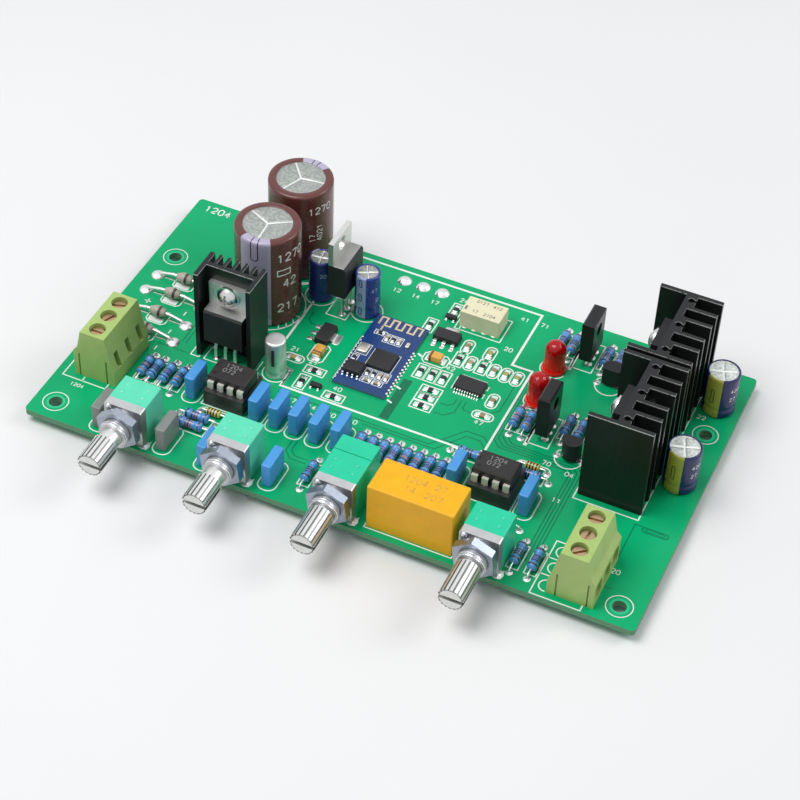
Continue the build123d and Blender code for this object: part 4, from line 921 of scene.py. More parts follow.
# %% Chip resistors and capacitors
TAN_FROM = 100
black_upright = [(72.4, 68.0), (76.0, 75.6), (83.5, 60), (89.6, 60), (77.0, 52.3), (79.9, 52.3), (82.8, 52.3),
                 (53.3, 36.5)]
black_level = [(81.8, 47.3), (81.8, 44.6), (81.8, 41.7), (54.5, 41.1), (62.2, 35.2)]
tan_upright = [(83.7, 65.0), (89.5, 65.0), (86.5, 60), (92.6, 60), (95.6, 60), (98.5, 60), (96.2, 50.5)]
tan_level = [(48.0, 43.0), (96.0, 45.0)]
chip = one(block((2.0, 1.25, 0.55), 0.14, 0.08, steps=3),
           blocks((1.25, 1.5, 0.09), [(-1.3, 0), (1.3, 0)], 0.16, 0.05, 0, 3),
           blocks((0.55, 1.25, 0.42), [(-1.2, 0), (1.2, 0)], 0.2, 0.18, 0, 3))
chip_rows = [placed(chip, black_upright, 90), placed(chip, black_level),
             placed(chip, tan_upright, 90, TAN_FROM), placed(chip, tan_level, 0, TAN_FROM + len(tan_upright))]


def chip_ceramic():
    """Tinned ends. Between them is black resistor glass or, from copy TAN_FROM on, tan capacitor ceramic."""
    f = Finish("chip_ceramic")
    own = f.own()
    ends = f.ends(f.split(own)[0], 0.62)
    tans = [(0.0, (0.30, 0.20, 0.11)), (0.5, (0.40, 0.30, 0.20)), (0.8, (0.42, 0.36, 0.12))]
    is_tan = f.over(f.copy(), TAN_FROM - 0.5)
    body = f.mix(is_tan, (0.010, 0.010, 0.012), f.choose(f.draw(0.5), tans))
    clouds = f.noise(own, 3.0, 3.0)
    metal = f.mix(clouds, (0.80, 0.80, 0.78), (0.97, 0.97, 0.95))
    return f.done(f.mix(ends, body, metal), f.blend(ends, 0.35, 0.38), ends, f.bump(clouds, 0.015))


piece("chip_blocks", chip_rows, chip_ceramic(), ["chip_parts"])

# %% Chips on gull legs
LEFT_TAB, RIGHT_TAB, FINE_CHIP = (51.6, 53.1), (78.1, 65.4), (89.7, 52.4)
tiny_packages = [(76.0, 72.5), (57.0, 36.5)]
FINE_PITCH = 0.65


def gull(reach, height, width, thick=0.16):
    """One leg along +x: out of the body at height, down, and flat along the pad to reach."""
    path = [(-0.3, 0, height), (reach * 0.40, 0, height), (reach * 0.52, 0, 0.06), (reach, 0, 0.06)]
    across = [(0, -width / 2), (thick, -width / 2), (thick, width / 2), (0, width / 2)]
    return carried(eased(path, 0.12, 4), across, up=(0, 1, 0))


def legs_of(leg, place, offsets, direction, away):
    """Copies of a leg on one side of a chip: direction in degrees, away from its centre by half its width."""
    angle = math.radians(direction)
    out, along = np.array((math.cos(angle), math.sin(angle))), np.array((-math.sin(angle), math.cos(angle)))
    return placed(leg, [np.array(place) + out * away + along * offset for offset in offsets], direction)


def lifted(places, height):
    return [(x, y, height) for x, y in places]


package_legs = []
for place, front in ((LEFT_TAB, 180), (RIGHT_TAB, -90)):
    package_legs += [legs_of(gull(1.75, 0.60, 0.85), place, (-2.3, 0, 2.3), front, 1.75),
                     legs_of(gull(1.75, 0.55, 3.0), place, (0,), front % 360 - 180, 1.75)]
fine_steps = [FINE_PITCH * (k - 4.5) for k in range(10)]
package_legs += [legs_of(gull(1.25, 0.75, 0.30), FINE_CHIP, fine_steps, side, 2.2) for side in (90, -90)]
for place in tiny_packages:
    package_legs += [legs_of(gull(0.55, 0.4, 0.42), place, steps, side, 0.7)
                     for steps, side in (((-0.95, 0.95), -90), ((0,), 90))]
for size, places in (((1.15, 1.7, 0.14), [(x, 62.3) for x in (75.8, 78.1, 80.4)]),
                     ((1.7, 1.15, 0.14), [(48.5, y) for y in (50.8, 53.1, 55.4)])):
    package_legs.append(blocks(size, places, 0.3, 0.1, 0.02, 3))
for size, place in (((3.6, 1.9, 0.14), (78.1, 68.4)), ((1.9, 3.6, 0.14), (54.6, 53.1))):
    package_legs.append(blocks(size, [place], 0.4, 0.1, 0.02, 3))
package_blocks = [
    blocks((3.5, 6.5, 1.6), lifted([LEFT_TAB], 0.05), 0.3, 0.15, 0.12),
    blocks((6.5, 3.5, 1.6), lifted([RIGHT_TAB], 0.05), 0.3, 0.15, 0.12),
    blocks((7.2, 4.4, 1.15), lifted([FINE_CHIP], 0.1), 0.25, 0.12, 0.10),
    blocks((2.9, 1.4, 0.95), lifted(tiny_packages, 0.05), 0.2, 0.1, 0.08),
]
package_resin = moulded("package_resin", (0.022, 0.022, 0.023), 0.5, grain=5.0, depth=0.008, mottle=0.25,
                        **DULL)
piece("package_blocks", package_blocks, package_resin, ["surface_chips"])
piece("package_legs", package_legs, wire_tin)

# %% Tantalum capacitors
tantalum = one(blocks((3.4, 2.4, 1.65), [(0, 0, 0.05)], 0.2, 0.12, 0.1),
               blocks((0.7, 1.9, 1.0), [(-1.6, 0), (1.6, 0)], 0.12, 0.06, 0, 3),
               blocks((1.2, 2.2, 0.08), [(-2.0, 0), (2.0, 0)], 0.12, 0.04, 0, 3))


def tantalum_resin():
    """Orange resin, a brown bar at the plus end, and tinned straps beyond the body."""
    f = Finish("tantalum_resin")
    own = f.own()
    x = f.split(own)[0]
    ends = f.ends(x, 1.67)
    clouds = f.noise(own, 1.5, 3.0)
    body = f.mix(clouds, (0.66, 0.33, 0.05), (0.80, 0.44, 0.09))
    body = f.mix(f.band(x, -1.45, -0.85), body, (0.20, 0.07, 0.02))
    tone = f.mix(ends, body, (0.86, 0.86, 0.84))
    return f.done(tone, f.blend(clouds, 0.3, 0.45), ends, f.bump(clouds, 0.02))


piece("tantalum_blocks", [placed(tantalum, [(52.7, 47.0), (78.6, 57.5)], [90, 0])], tantalum_resin(),
      ["tantalum_capacitors"])

# %% [markdown]
# ## The wireless module
# A second, thin blue board lies on the main one. Down both long sides it has half holes, filled with solder,
# and its parts are the same kind as before. At its back end a thin gold track runs to and fro: the printed
# aerial. The track is a flat profile carried along a zigzag.

# %% Module
MODULE_SIDES, MODULE_TOP = ((59.8, -1), (73.2, 1)), 0.8
LINE, INK_HEIGHT, TRACK_HEIGHT = 0.3, 0.03, 0.04
contacts = 41.1 + 1.27 * np.arange(13)


def module_lacquer():
    """Blue lacquer with soft lighter clouds where there is copper below, and pale cut edges."""
    f = Finish("module_lacquer")
    at = f.at()
    edge = f.sideways()
    blue = f.mix(f.noise(at, 0.25, 4.0), (0.004, 0.032, 0.135), (0.007, 0.050, 0.200))
    fine = f.noise(at, 2.5, 3.0)
    return f.done(f.mix(edge, blue, (0.10, 0.16, 0.24)), f.blend(fine, 0.22, 0.34), 0.0, f.bump(fine, 0.006))


def line(points, width=LINE, height=INK_HEIGHT, base=0.0):
    """An open flat line on the board, or on whatever top is at the height base."""
    return carried(np.insert(np.asarray(points, float), 2, base, axis=1), flat(width, height))


dress(module_lacquer(), "module_board")
zigzag = np.stack([np.repeat(np.linspace(61.3, 72.0, 8), 2), np.tile([62.2, 64.9, 64.9, 62.2], 4)], -1)
feed = [(62.7, 62.2), (62.7, 58.9)]
aerial = [line(points, width, TRACK_HEIGHT, MODULE_TOP) for points, width in ((zigzag, 0.5), (feed, 0.45))]
piece("module_aerial", aerial, plated("contact_gold", (0.88, 0.72, 0.46), 0.36, grain=2.0))
half_hole, foot = block((0.62, 0.66, 0.86), 0.26, 0.1, 0.02), block((0.95, 0.70, 0.24), 0.3, 0.16, 0.02)
feet = [placed(shape, [(x + shift * side, y, 0.0) for y in contacts])
        for shape, shift in ((half_hole, 0.02), (foot, 0.16)) for x, side in MODULE_SIDES]
solder_shine = plated("solder_shine", (0.88, 0.88, 0.86), 0.34, grain=1.2, depth=0.02)
piece("module_solder", feet, solder_shine)

# %% Module parts
upright_small = [(65.4, 58.3), (67.0, 58.3), (68.6, 58.3), (66.2, 45.6), (67.8, 45.6), (69.4, 45.6),
                 (71.0, 45.6), (61.2, 48.6)]
level_small = [(63.2, 59.4), (67.0, 43.0), (69.6, 43.0)]
MEMORY_CHIP = (62.9, 44.9)
small_chip = one(block((1.6, 0.8, 0.5), 0.1, 0.06, steps=3),
                 blocks((0.5, 0.95, 0.12), [(-0.85, 0), (0.85, 0)], 0.1, 0.05, 0, 3))


def small_ceramic():
    """The same tinned ends and tan or black middles, at the module's smaller size."""
    f = Finish("small_ceramic")
    own = f.own()
    ends = f.ends(f.split(own)[0], 0.5)
    colours = [(0.0, (0.40, 0.32, 0.21)), (0.6, (0.012, 0.012, 0.014)), (0.9, (0.46, 0.42, 0.34))]
    tone = f.mix(ends, f.choose(f.draw(3.5), colours), (0.92, 0.92, 0.90))
    return f.done(tone, f.blend(ends, 0.4, 0.38), ends, f.bump(f.noise(own, 4.0), 0.01))


small_turns = [90] * len(upright_small) + [0] * len(level_small)
piece("module_chips", [placed(small_chip, lifted(upright_small + level_small, MODULE_TOP), small_turns)],
      small_ceramic(), ["module_parts"])
radio_block = blocks((6.1, 6.1, 0.9), [(67.8, 50.4, MODULE_TOP)], 0.25, 0.08, 0.04)
memory_block = blocks((4.6, 4.0, 1.4), lifted([MEMORY_CHIP], MODULE_TOP + 0.08), 0.25, 0.10, 0.12)
piece("module_packages", [radio_block, memory_block], package_resin)
piece("module_crystal", [blocks((2.5, 3.2, 0.7), [(61.9, 52.5, MODULE_TOP)], 0.4, 0.15, 0.05),
                         blocks((0.9, 1.7, 0.6), [(71.0, 57.8, MODULE_TOP)], 0.15, 0.1, 0.02)],
      plated("crystal_can", (0.84, 0.78, 0.66), 0.34))
memory_legs = [legs_of(gull(0.75, 0.6, 0.4), MEMORY_CHIP, (-1.9, -0.63, 0.63, 1.9), side, 2.0)
               for side in (90, -90)]
piece("module_legs", [placed(legs, [(0, 0, MODULE_TOP)]) for legs in memory_legs], wire_tin)

# %% [markdown]
# ## White print
# The print tells the assembler what goes where. On the real board it is a thin layer of white ink, pressed
# through a screen. Here every line is a flat profile carried along a path, a few hundredths of a millimetre
# high, so the edges stay crisp at any distance. Outlines are closed paths, and arcs have many points.

# %% Print kit
HEAVY = 0.58
ink = []


def frame_line(x0, y0, x1, y1, width=LINE, corner=0.02, steps=2, base=0.0):
    """A closed printed box. Each corner is an arc of radius corner; with two steps it is cut straight."""
    c = min(corner, 0.499 * (x1 - x0), 0.499 * (y1 - y0))
    angle = np.arange(4)[:, None] * np.pi / 2 + np.linspace(0, np.pi / 2, steps)
    middle = np.array([(x1 - c, y1 - c), (x0 + c, y1 - c), (x0 + c, y0 + c), (x1 - c, y0 + c)])[:, None]
    points = (middle + c * np.stack([np.cos(angle), np.sin(angle)], -1)).reshape(-1, 2)
    return carried(np.insert(points, 2, base, axis=1), flat(width, INK_HEIGHT), ring=True)


def outlines(places, across, along, **look):
    """A printed box round each place, across and along being half its size."""
    return [frame_line(x - across, y - along, x + across, y + along, **look) for x, y in places]


def arc_line(x, y, radius, start=0.0, end=360.0, width=LINE):
    """A printed ring, or a part of one: point = centre + r (cos a, sin a)."""
    whole = end - start >= 360
    angle = np.radians(np.linspace(start, end, 49)[:-1 if whole else None])
    path = np.stack([x + radius * np.cos(angle), y + radius * np.sin(angle), np.zeros(len(angle))], -1)
    return carried(path, flat(width, INK_HEIGHT), ring=whole)


print("print kit ready")

# %% Print round the mounting holes, terminals and potentiometers
ink += [arc_line(x, y, 3.0, width=0.22) for x, y in corner_holes]
ink += [frame_line(2.0, 13.8, 13.4, 33.0), line([(7.2, 13.8), (7.2, 15.2)])]
ink += [frame_line(125.8, 0.3, 137.5, 16.7)] + [line([(125.8, y), (128.0, y)]) for y in (6.5, 11.5)]
ink += [arc_line(128.4, y, 1.6, 80, 280) for y in (3.6, 9.0, 14.0)]
ink += [line([(x + 5.4 * side, 3.6), (x + 5.4 * side, 1.0), (x + 3.8 * side, 1.0)])
        for x in pots for side in (-1, 1)]
ink += [line([(85.9, 4.4), (85.9, 1.7), (106.9, 1.7), (106.9, 4.4)])]
print("print lines:", len(ink))

# %% Print round the long parts
ink += outlines(upright_rods, 1.4, 3.7) + outlines(level_rods, 3.7, 1.4)
ink += outlines(chokes, 4.3, 1.75, corner=1.7, steps=7)
ink += outlines(blue_films + grey_films, 2.2, 4.7, corner=1.9, steps=6)
for x, y in diodes:
    ink += outlines([(x, y)], 2.6, 2.3, corner=0.8) + [line([(x - 2.1, y - 1.15), (x + 1.7, y - 1.15)], 1.7)]
    ink += [line([(x - 5.5, y), (x - 2.6, y)]), line([(x + 2.6, y), (x + 5.7, y)])]
ink += [line([(6.4, 45.1), (8.0, 45.1)]), line([(7.2, 44.3), (7.2, 45.9)])]
ink += [line([(x, y - 0.7), (x, y + 0.7)]) for x, y in ((17.5, 45.0), (17.3, 37.8), (17.0, 31.4))]
print("print lines:", len(ink))

# %% Print round the cans, heatsinks and transistors
ink += [arc_line(*place, radius) for place, radius in ((front_can, 9.0), (rear_can, 9.0), (striped_can, 3.9),
                                                       (navy_can, 3.9), (silver_can, 3.2))]
ink += [line(points) for points in (
    [(41.0, 56.6), (43.1, 56.3)],
    [(41.2, 55.8), (42.6, 53.6)],
    [(40.8, 53.2), (41.6, 51.6)],
    [(39.3, 52.3), (40.0, 50.6)],
    [(37.7, 67.0), (39.4, 68.3)],
    [(27.7, 38.5), (27.7, 33.2), (25.5, 33.2), (25.5, 38.5)],
    [(42.1, 38.5), (42.1, 33.2), (29.0, 33.2), (29.0, 38.5)],
)]
ink += [frame_line(124.2, 30.3, 139.8, 56.2), frame_line(124.2, 56.8, 139.8, 80.8)]
ink += [frame_line(48.0, 60.4, 53.2, 67.0), line([(48.0, 39.0), (49.6, 39.0), (49.6, 33.4)])]
for shift in (0.0, 27.9):
    ink += [line([(108.3, 40.6 + shift), (108.3, 48.0 + shift)], 0.9)]
    ink += [frame_line(108.3, 41.8 + shift, 113.5, 52.0 + shift)]
for x, y, left in ((119.0, 41.2, 116.2), (118.8, 67.6, 116.0)):
    ink += [arc_line(x, y, 3.3, 150, 390), line([(left, y + 1.7), (left + 5.7, y + 1.7)])]
ink += [arc_line(105.0, 67.2, 3.3, 25, 335), arc_line(105.6, 55.3, 3.3, 25, 335)]
ink += [frame_line(78.0, 69.8, 89.9, 78.1), line([(79.2, 69.8), (79.2, 78.1)])]
print("print lines:", len(ink))

# %% Print between the zones, and round the chips
ink += [line(points, HEAVY) for points in (
    [(43.4, 48.0), (43.4, 83.0)],
    [(47.0, 83.4), (95.6, 83.4), (95.6, 64.0), (100.8, 64.0), (100.8, 35.0), (99.0, 33.2), (49.4, 33.2),
     (49.4, 39.0), (47.3, 39.0)],
)]
for x, y in amplifier_chips:
    ink += [line([(x - 5.6, y - 1.2), (x - 5.6, y - 5.4), (x + 5.6, y - 5.4), (x + 5.6, y + 5.4),
                  (x - 5.6, y + 5.4), (x - 5.6, y + 1.2)]), arc_line(x - 5.6, y, 1.2, -90, 90)]
ink += outlines(black_upright, 1.35, 2.5) + outlines(black_level, 2.6, 1.3)
ink += outlines(tan_upright, 1.35, 2.5, corner=1.3, steps=7)
ink += outlines(tan_level, 2.6, 1.3, corner=1.2, steps=7)
ink += [frame_line(50.7, 43.8, 54.7, 50.2, corner=0.9), frame_line(75.4, 55.5, 81.8, 59.5, corner=0.9)]
ink += [line([(85.7, 50.2), (85.7, 54.6)])]
ink += [line([(93.7, 50.2), (93.7, 51.6), (93.1, 51.6), (93.1, 53.2), (93.7, 53.2), (93.7, 54.6)])]
ink += [line([(73.9, y), (75.2, end)], 0.5) for y, end in ((57.6, 57.0), (45.1, 44.6), (40.0, 39.5))]
on_module = {"width": 0.16, "base": MODULE_TOP}
ink += outlines(upright_small, 0.75, 1.5, **on_module) + outlines(level_small, 1.5, 0.75, **on_module)
ink += [frame_line(64.4, 47.0, 71.2, 53.8, **on_module), frame_line(60.4, 50.6, 63.4, 54.4, **on_module)]
print("print lines:", len(ink))

# %% [markdown]
# ## Plain numbers
# Boards and cans carry many small numbers. These are plain ones of our own. A figure is a few strokes in a
# box one wide and 1.6 high, each a printed line. Flat on the board the strokes are only moved and scaled; on
# a can they are also wrapped: the flat x becomes an angle round the can, and y becomes the height.

# %% Figures
STROKES = {
    "0": [[(0.3, 0), (0.7, 0), (1, 0.35), (1, 1.25), (0.7, 1.6), (0.3, 1.6), (0, 1.25), (0, 0.35), (0.3, 0),
           (0.4, 0)]],
    "1": [[(0.2, 1.25), (0.55, 1.6)], [(0.55, 1.6), (0.55, 0)]],
    "2": [[(0, 1.25), (0.3, 1.6), (0.7, 1.6), (1, 1.25), (1, 1.0), (0, 0)], [(0, 0), (1, 0)]],
    "4": [[(0.7, 1.6), (0.7, 0)], [(0.7, 1.6), (0, 0.5)], [(0, 0.5), (1, 0.5)]],
    "7": [[(0, 1.6), (1, 1.6)], [(1, 1.6), (0.4, 0)]],
}
FIGURE_STEP = 1.45


def figures(number, x, y, size, width=0.2, turn=0.0, base=0.0):
    """A number that starts at (x, y): every stroke is scaled, then the whole is turned about its start."""
    strokes = [line(np.array(stroke) * size + (FIGURE_STEP * size * k, 0), width, base=base)
               for k, digit in enumerate(number) for stroke in STROKES[digit]]
    return placed(joined(strokes), [(x, y)], turn)


small_figures = """12 58.9 75.4, 14 64.0 75.4, 17 69.1 75.4, 21 46.0 45.2, 27 52.0 43.0, 40 61.0 37.4,
42 82.0 55.6, 47 95.0 42.0, 70 114.0 36.9, 24 75.4 79.1, 41 91.4 79.6, 71 96.6 79.6, 20 91.8 67.9,
44 46.4 69.8, 74 54.4 70.6, 77 141.0 50.6, 22 141.0 66.8, 11 120.2 27.2, 04 120.0 35.8, 02 109.2 53.0,
07 109.2 80.8, 01 128.0 17.9, 100 100.6 19.0, 120 138.4 13.4, 210 88.6 12.9, 47 53.0 29.3, 14 58.2 29.3,
40 63.4 29.0, 10 68.8 29.3, 2 105.0 63.0, 4 105.6 51.0"""
for number, x, y in (entry.split() for entry in small_figures.split(",")):
    ink += [figures(number, float(x), float(y), 0.8)]
ink += [figures("27", x - 0.6, y + 1.8, 0.62, 0.16) for x, y in lone_rods]
ink += [figures("1204", 5.2, 11.6, 0.62, 0.18)]
ink += [figures("1204", 3.0, 81.6, 1.3, 0.32), figures("7", 23.6, 79.8, 1.3, 0.32)]
print("print lines:", len(ink))


def printed_ink():
    """White ink: a little worn and yellowed in clouds, and rough."""
    f = Finish("printed_ink")
    at = f.at()
    clouds = f.noise(at, 0.8, 4.0)
    thin = f.rise(f.noise(at, 3.5, 2.0), 0.28, 0.38)
    white = f.mix(clouds, (0.74, 0.80, 0.75), (0.90, 0.92, 0.89))
    tone = f.mix(thin, (0.40, 0.62, 0.50), white)
    return f.done(tone, f.blend(clouds, 0.5, 0.65), 0.0, f.bump(clouds, 0.004))


piece("white_print", ink, printed_ink())

# %% [markdown]
# ## Print on the parts
# The same figures, smaller and greyer, stand on the tops of the chips and relays, at another base height.

# %% Figures on the chips and relays
CHIP_TOP, SMALL_RELAY_TOP, BIG_RELAY_TOP = 7.9, 4.9, 12.6
chip_print = [figures(number, x - 2.2, y + rise, 0.75, 0.18, base=CHIP_TOP)
              for x, y in amplifier_chips for number, rise in (("1204", 0.8), ("072", -0.9))]
piece("chip_figures", chip_print, moulded("grey_chip_ink", (0.22, 0.22, 0.22), 0.6))
relay_print = [figures(number, x, y, 0.55, 0.14, base=SMALL_RELAY_TOP) for number, x, y in (
    ("0127", 81.2, 75.6), ("412", 85.6, 75.4), ("17", 81.4, 72.0), ("2104", 84.4, 71.9))]
relay_print += [line([(79.6, 72.2), (79.6, 73.6)], 0.6, base=SMALL_RELAY_TOP)]
piece("relay_figures", relay_print, moulded("grey_relay_ink", (0.20, 0.20, 0.16), 0.6))
worn_print = [figures(number, x, y, 1.0, 0.2, base=BIG_RELAY_TOP) for number, x, y in (
    ("1204", 92.4, 7.6), ("27", 99.8, 7.8), ("14", 93.6, 4.6), ("207", 98.6, 4.6))]
piece("worn_figures", worn_print, moulded("worn_relay_ink", (0.66, 0.36, 0.06), 0.5))

# %% Figures on the cans
def wrapped(shape, centre, radius, facing, level):
    """Point = centre + (R + h)(cos a, sin a) with a = facing + x / R, at the height level + y."""
    x, y, h = shape.points.T
    angle = math.radians(facing) + x / radius
    points = [centre[0] + (radius + h) * np.cos(angle), centre[1] + (radius + h) * np.sin(angle), level + y]
    return Shape(np.stack(points, -1), shape.tables)


def can_figures(number, centre, radius, facing, level, size, width, turn=0):
    """A number that runs round a can, or up it with a turn of 90 degrees."""
    return wrapped(figures(number, 0, 0, size, width, turn), centre, radius + 0.02, facing, level)


box = [(x, 0, 0) for x in np.linspace(0, 3.4, 6)] + [(x, 1.6, 0) for x in np.linspace(3.4, 0, 6)]
can_print = [can_figures("1270", front_can, BIG[0], -47, 20.0, 1.45, 0.34),
             can_figures("42", front_can, BIG[0], -36, 12.0, 1.45, 0.34),
             can_figures("217", front_can, BIG[0], -47, 4.6, 1.45, 0.34),
             wrapped(carried(box, flat(LINE, INK_HEIGHT), ring=True), front_can, BIG[0] + 0.02, -47, 15.9),
             can_figures("1270", rear_can, BIG[0], -50, 20.4, 1.2, 0.30),
             can_figures("4021", rear_can, BIG[0], -24, 12.0, 0.9, 0.22, 90),
             can_figures("17", rear_can, BIG[0], -38, 12.0, 0.9, 0.22, 90)]
can_print += [can_figures(number, spot, OUTPUT[0], -42, level, 0.62, 0.16)
              for spot in output_cans for number, level in (("420", 8.0), ("27", 5.4))]
piece("pale_can_print", can_print, moulded("pale_can_ink", (0.78, 0.74, 0.72), 0.5))
blue_print = [can_figures("47", striped_can, STRIPED[0], -48, 8.6, 0.6, 0.15),
              can_figures("20", navy_can, NAVY[0], -70, 8.2, 0.6, 0.15),
              can_figures("10", striped_can, STRIPED[0], -10, 5.0, 0.55, 0.15, 90)]
piece("blue_can_print", blue_print, moulded("blue_can_ink", (0.42, 0.50, 0.74), 0.5))

# %% [markdown]
# ## Copper under the lacquer
# Tracks show through the lacquer as slightly raised lines with a dark seam on either side, where the copper
# stops. We draw the seams only: narrow lines of darker lacquer, just proud of the board.

# %% Seams
SEAM, SEAM_HEIGHT = 0.25, 0.012
bus = [(101.2 + 0.8 * k, 37.4 + 0.77 * k, 120.9 + 0.8 * k) for k in range(4)]
right_seams = [
    [(49.8, 31.2), (88.4, 31.2), (94.6, 38.9), (99.0, 38.9), (100.6, 37.4)],
    [(72.0, 30.3), (90.2, 30.3), (95.2, 37.3), (98.6, 37.3), (100.8, 35.2)],
    [(91.0, 34.0), (101.0, 34.0)],
    *([(x, 60.0), (x, y + 2), (x + 2, y), (right - 1.5, y), (right, y - 1.5), (right, 8.0)]
      for x, y, right in bus),
    [(85.2, 41.2), (87.6, 41.2), (89.6, 43.2), (89.6, 47.5)],
    [(85.2, 44.6), (87.3, 44.6), (88.4, 45.7), (88.4, 47.4)],
    [(90.8, 47.5), (90.8, 45.4), (91.4, 44.8), (93.4, 44.8)],
    [(98.9, 58.0), (98.9, 48.2), (97.4, 46.9)],
    [(141.5, 9.0), (139.6, 9.0), (139.6, 29.0), (141.5, 29.0)],
]
left_seams = [
    [(60.0, 19.0), (60.0, 15.0), (62.0, 13.0), (66.0, 13.0)],
    [(61.2, 19.0), (61.2, 15.6), (62.6, 14.2), (66.0, 14.2)],
    *([(x, 36.0), (x, 58.0), (x + 2.5, 60.5), (x + 2.5, 80.0)] for x in (21.6, 22.6)),
    [(45.2, 59.6), (45.2, 56.9), (46.4, 55.7), (51.6, 55.7)],
    [(16.6, 33.2), (29.0, 33.2), (29.0, 30.8)],
]
seams = [line([(75.55, 34.0), (75.55, 48.3)], 2.3, SEAM_HEIGHT)]
seams += [line(points, SEAM, SEAM_HEIGHT) for points in right_seams]
seams += [frame_line(141.5, 27.6, 147.6, 29.0, SEAM, corner=0.7, steps=6),
          frame_line(142.3, 28.0, 146.8, 28.6, SEAM * 0.6, corner=0.3, steps=4)]
seams += [line(points, SEAM, SEAM_HEIGHT) for points in left_seams]
dark_lacquer = moulded("dark_lacquer", (0.001, 0.150, 0.066), 0.3, grain=2.0, mottle=0.15, **DULL)
piece("track_seams", seams, dark_lacquer)

# %% [markdown]
# ## Solder joints
# Each lead ends in a small cone of solder below the board. Above, it stands in a flat ring with a low hollow
# flank, and the thick leads of the diodes stand in low domes. There are over two hundred, so one joint has
# only about a hundred faces: two turned profiles with twelve sides, copied to all places.

# %% Joints
def spread(places, steps, sideways=True):
    """Every place moved by every step, sideways or along the board."""
    return [(x + step, y) if sideways else (x, y + step) for x, y in places for step in steps]


def pair(places, half, sideways=True):
    return spread(places, (-half, half), sideways)


THREE_PINS, FLAT_PINS, TERMINAL_PINS = (-2.54, 0, 2.54), (-2.3, 0, 2.3), (-5.08, 0, 5.08)
ROW_HALF = 3.81
sinks = [(132.25, 43.5), (132.25, 68.0)]
joints = pair(upright_rods, PAD_HALF, False) + pair(level_rods, PAD_HALF) + pair(chokes, CHOKE_PADS)
joints += pair(blue_films + grey_films, 2.5, False) + pair([front_can, rear_can], 3.75)
joints += pair(output_cans, 1.75) + pair([striped_can, navy_can], 1.25) + pair([silver_can], 1.0)
joints += spread([(x, 5.35) for x in pots] + [(pots[2], 10.55)], (-2.5, 0, 2.5))
joints += [(x + 2.54 * k - ROW_HALF, y + row) for x, y in amplifier_chips
           for k in range(4) for row in (-ROW_HALF, ROW_HALF)]
joints += pair([(x, 7.05) for x in (88.3, 91.8, 95.3, 102.9)], ROW_HALF, False)
joints += pair([(x, 74.1) for x in (80.1, 82.6, 85.2, 87.7)], 2.54, False)
joints += spread([(34.1, 34.85)], THREE_PINS) + spread([(51.65, 64.5)], THREE_PINS, False)
joints += spread([(128.45, y) for x, y in sinks], THREE_PINS, False)
joints += spread([(111.8, 46.9), (111.8, 74.8)], FLAT_PINS, False)
joints += [(119.2, 41.4), (117.9, 42.0), (120.5, 42.0), (119.0, 69.0), (117.7, 68.4), (120.3, 68.4)]
joints += [(116.1, 41.0), (122.0, 41.3), (115.9, 67.4), (121.8, 67.7)]
joints += pair([(105.0, 67.2), (105.6, 55.3)], 1.27)
big_joints = spread([(12.2, 23.4), (132.0, 9.75)], TERMINAL_PINS, False) + [(29.1, 38.75), (39.1, 38.75)]
big_joints += pair(sinks, 9.0, False) + pair([(x, 2.05) for x in pots], 4.45)


def joint(size):
    """Above the board: a flat ring with a low hollow flank. Below: a wide foot, a hollow flank and a narrow
    neck. Heights stay as they are, and size scales the radius."""
    above = [(1.0, 0.0), (0.97, 0.06), (0.66, 0.12), (0.40, 0.20), (0.30, 0.35), (0.06, 0.37)]
    below = [(0.06, -2.75), (0.36, -2.70), (0.52, -2.3), (0.88, -1.72), (1.0, -1.6)]
    return one(*(turned([(r * size, h) for r, h in profile], 12) for profile in (above, below)))


diode_joint = one(turned(dome(1.7, 0.75, 7), 20),
                  turned([(0.06, -2.9), (0.6, -2.85), (0.9, -2.4), (1.5, -1.6)], 12))
piece("solder_joints", [placed(joint(0.92), joints), placed(joint(1.4), big_joints),
                        placed(diode_joint, pair(diodes, DIODE_PADS))], solder_shine)

# %% [markdown]
# ## Bushing threads
# The potentiometers are fixed to a panel by their threaded bushings. A thread is a helix, and as a surface
# it is simple: go round and along, and let the radius depend on both, so that the crest moves one pitch
# along in one turn. One length of it is in front of the nut, and a short one is between nut and plate.

# %% Threads
THREAD_ROOT, THREAD_CREST, THREAD_PITCH = 3.44, 3.62, 0.7
BEFORE_NUT, BEHIND_NUT = (-2.78, -4.0), (0.9, -0.1)


def thread(back, front, sides=48):
    """Radius = root + (crest - root) (1 + cos(2 pi y / pitch + a)) / 2, faded at both ends; the inner wall
    is a plain ring inside the bushing, so the skin is closed like a tube."""
    along = np.linspace(back, front, 34)[:, None]
    angle = np.linspace(0, 2 * np.pi, sides, endpoint=False)
    fade = np.clip(np.minimum(back - along, along - front) / 0.3, 0, 1)
    crest = (1 + np.cos(2 * np.pi * along / THREAD_PITCH + angle)) / 2 * fade
    outer = THREAD_ROOT + (THREAD_CREST - THREAD_ROOT) * crest
    radius = np.vstack([outer, np.full((2, sides), THREAD_ROOT - 0.15)])
    rows = spun(radius, np.vstack([along, [[front], [back]]]), sides)
    return skin(rows[..., [0, 2, 1]] + (0, 0, POT_AXIS), ring=True)


nickel_thread = plated("nickel_thread", (0.74, 0.74, 0.76), 0.22)
threads = [placed(thread(*ends), [(x, 0) for x in pots]) for ends in (BEFORE_NUT, BEHIND_NUT)]
piece("bushing_threads", threads, nickel_thread, angle=60)

# %% [markdown]
# ## Rivets and studs
# Two rivets hold each front plate to its housing, and four small studs stand on the housing's top, where its
# halves are snapped together. Both are low domes. The rivets are turned upright first and then tipped, so
# that they face forwards. The studs are painted a little lighter than their housing, as a painted highlight.

